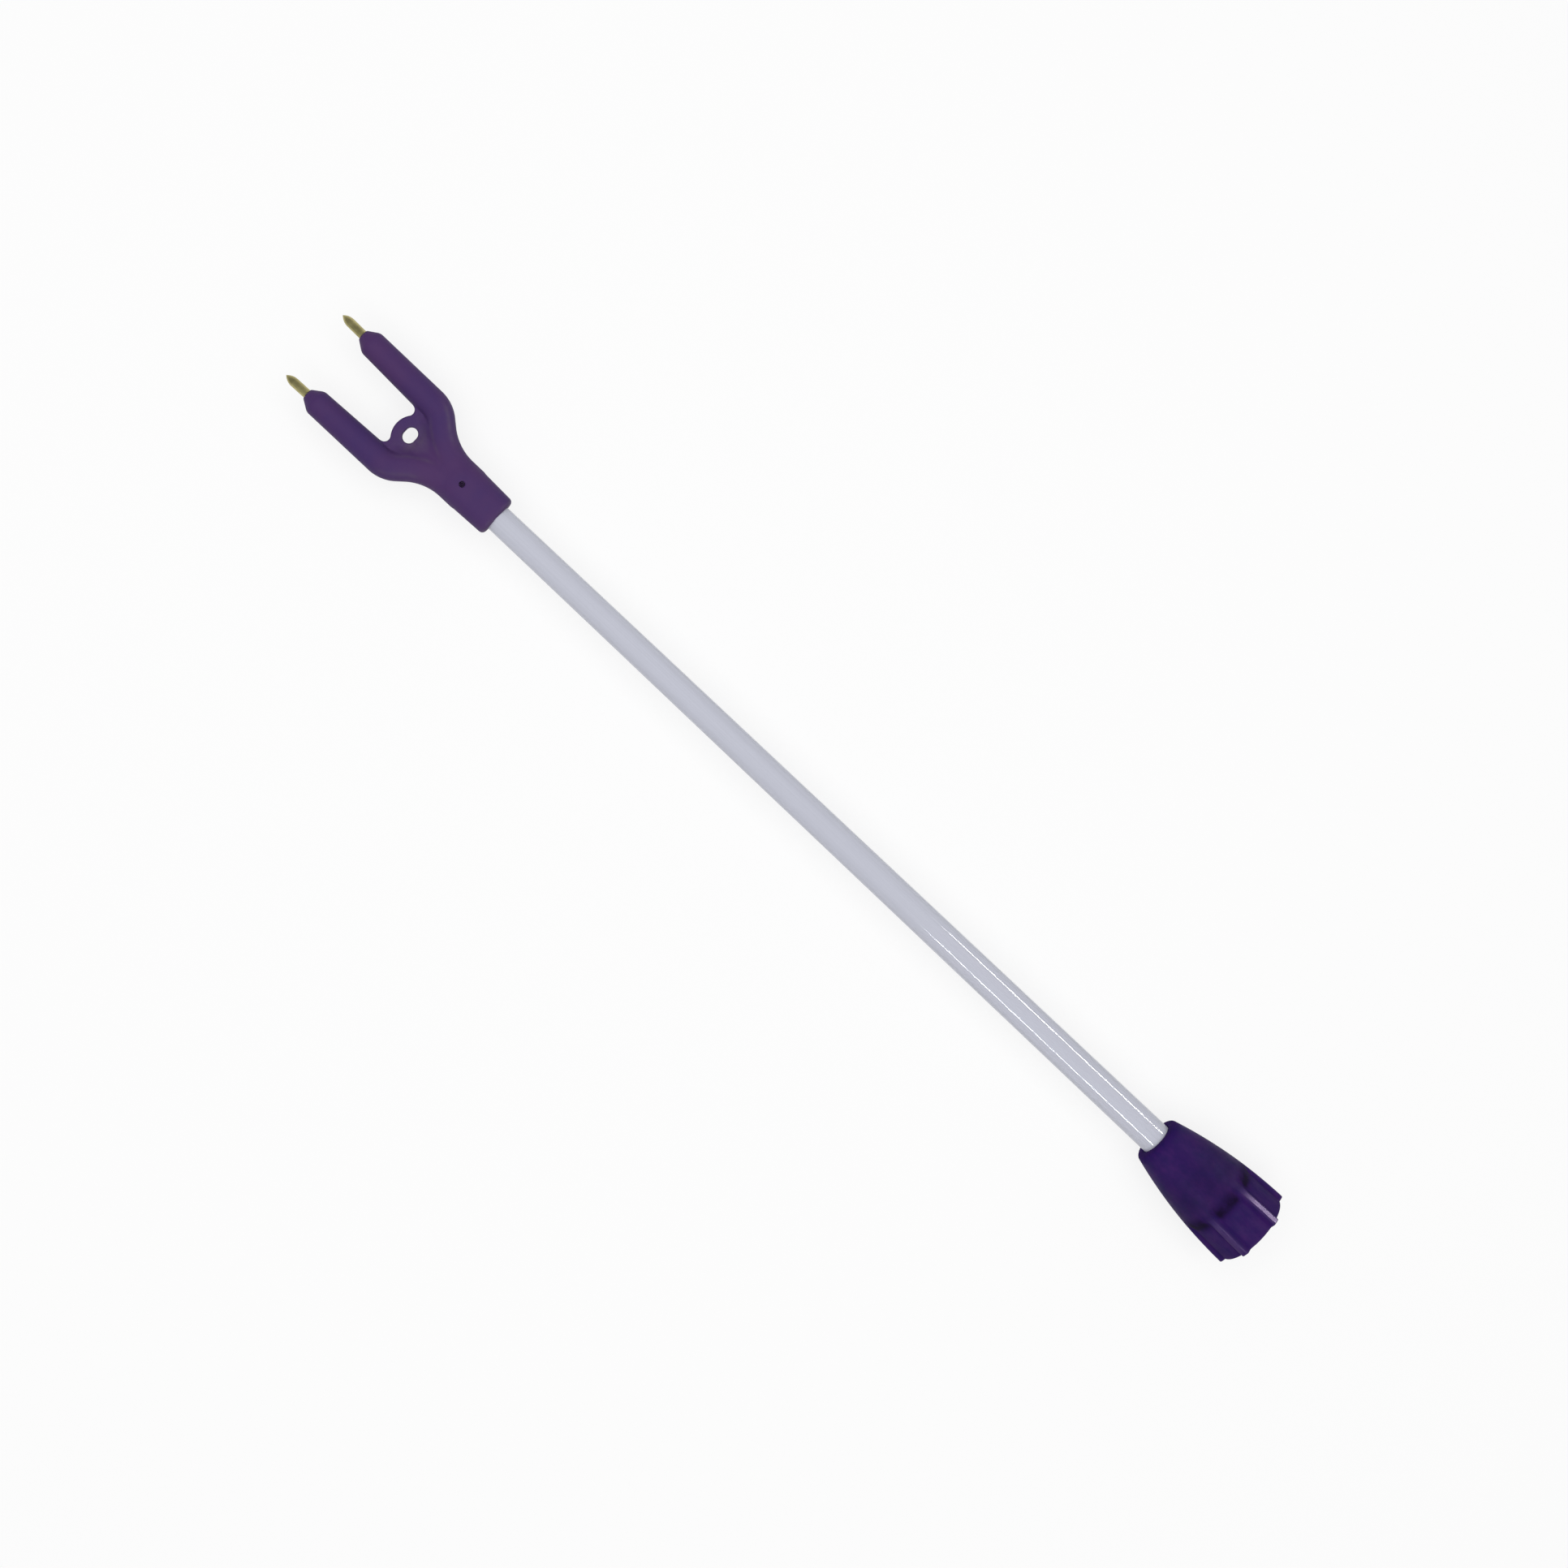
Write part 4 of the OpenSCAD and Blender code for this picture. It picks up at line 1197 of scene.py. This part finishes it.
class PRODSHAFT_OT_inner(Operator):
    """Roll the locking pin, and finish the plug, seal, washer, leads and ferrules"""
    bl_idname = "prodshaft.inner"
    bl_label = "Plug, seal and leads"

    def execute(self, context):
        settings = context.scene.prod_shaft
        plug = tuple(settings.finish.plug)
        dress(moulded_plastic("plug_black", plug, 0.32, 0.46, 1100.0, 0.00002, 0.25),
              "contact_plug")
        dress(dusty_black("seal_black", SEAL_BLACK), "seal_ring")
        dress(moulded_plastic("washer_white", WASHER_WHITE, 0.35, 0.5, 1500.0, 0.00001, 0.05),
              "slip_washer")
        pin_top, pin_foot = 7.0, 4.3
        points, faces = pin_surface(Millimetres(settings.fork).pin_station, pin_top, pin_foot)
        new_piece("locking_pin_rolled", points, faces, dusty_black("pin_blackened", PIN_BLACK),
                  "shaft", "pin_steel", "locking_pin")
        dress(turned_metal("ferrule_plated_steel", PLATED_STEEL, 0.25, 0.4),
              "ferrule_left", "ferrule_right")
        dress(turned_metal("drawn_copper", COPPER, 0.25, 0.4), "conductor_left", "conductor_right")
        for name, value, mottle, lead in (("lead_red_sheath", LEAD_RED, 0.1, "lead_left"),
                                          ("lead_black_sheath", LEAD_BLACK, 0.2, "lead_right")):
            dress(moulded_plastic(name, value, 0.35, 0.5, 2400.0, 0.00001, mottle), lead)
        return {"FINISHED"}


class PRODSHAFT_PT_panel(Panel):
    """Steps and settings of the part"""
    bl_idname = "PRODSHAFT_PT_panel"
    bl_label = "Prod shaft"
    bl_space_type = "VIEW_3D"
    bl_region_type = "UI"
    bl_category = "Prod shaft"

    def draw(self, context):
        settings = context.scene.prod_shaft
        for step in STEPS:
            self.layout.operator(step.bl_idname)
        for name in ("fork", "nut", "shaft", "finish", "stage"):
            box = self.layout.box()
            box.label(text=name.capitalize())
            group = getattr(settings, name)
            for setting in group.__annotations__:
                box.prop(group, setting)


STEPS = (PRODSHAFT_OT_stage, PRODSHAFT_OT_fork, PRODSHAFT_OT_nut, PRODSHAFT_OT_tube,
         PRODSHAFT_OT_electrodes, PRODSHAFT_OT_contacts, PRODSHAFT_OT_inner)
CLASSES = (ForkSizes, NutSizes, ShaftSizes, Finishes, StageSizes, ProdShaft, *STEPS,
           PRODSHAFT_PT_panel)


def register():
    for cls in CLASSES:
        bpy.utils.register_class(cls)
    bpy.types.Scene.prod_shaft = PointerProperty(type=ProdShaft)


def unregister():
    del bpy.types.Scene.prod_shaft
    for cls in reversed(CLASSES):
        bpy.utils.unregister_class(cls)


def main():
    register()
    bpy.ops.prodshaft.stage()
    bpy.ops.prodshaft.fork()
    bpy.ops.prodshaft.nut()
    bpy.ops.prodshaft.tube()
    bpy.ops.prodshaft.electrodes()
    bpy.ops.prodshaft.contacts()
    bpy.ops.prodshaft.inner()


if __name__ == "__main__":
    main()
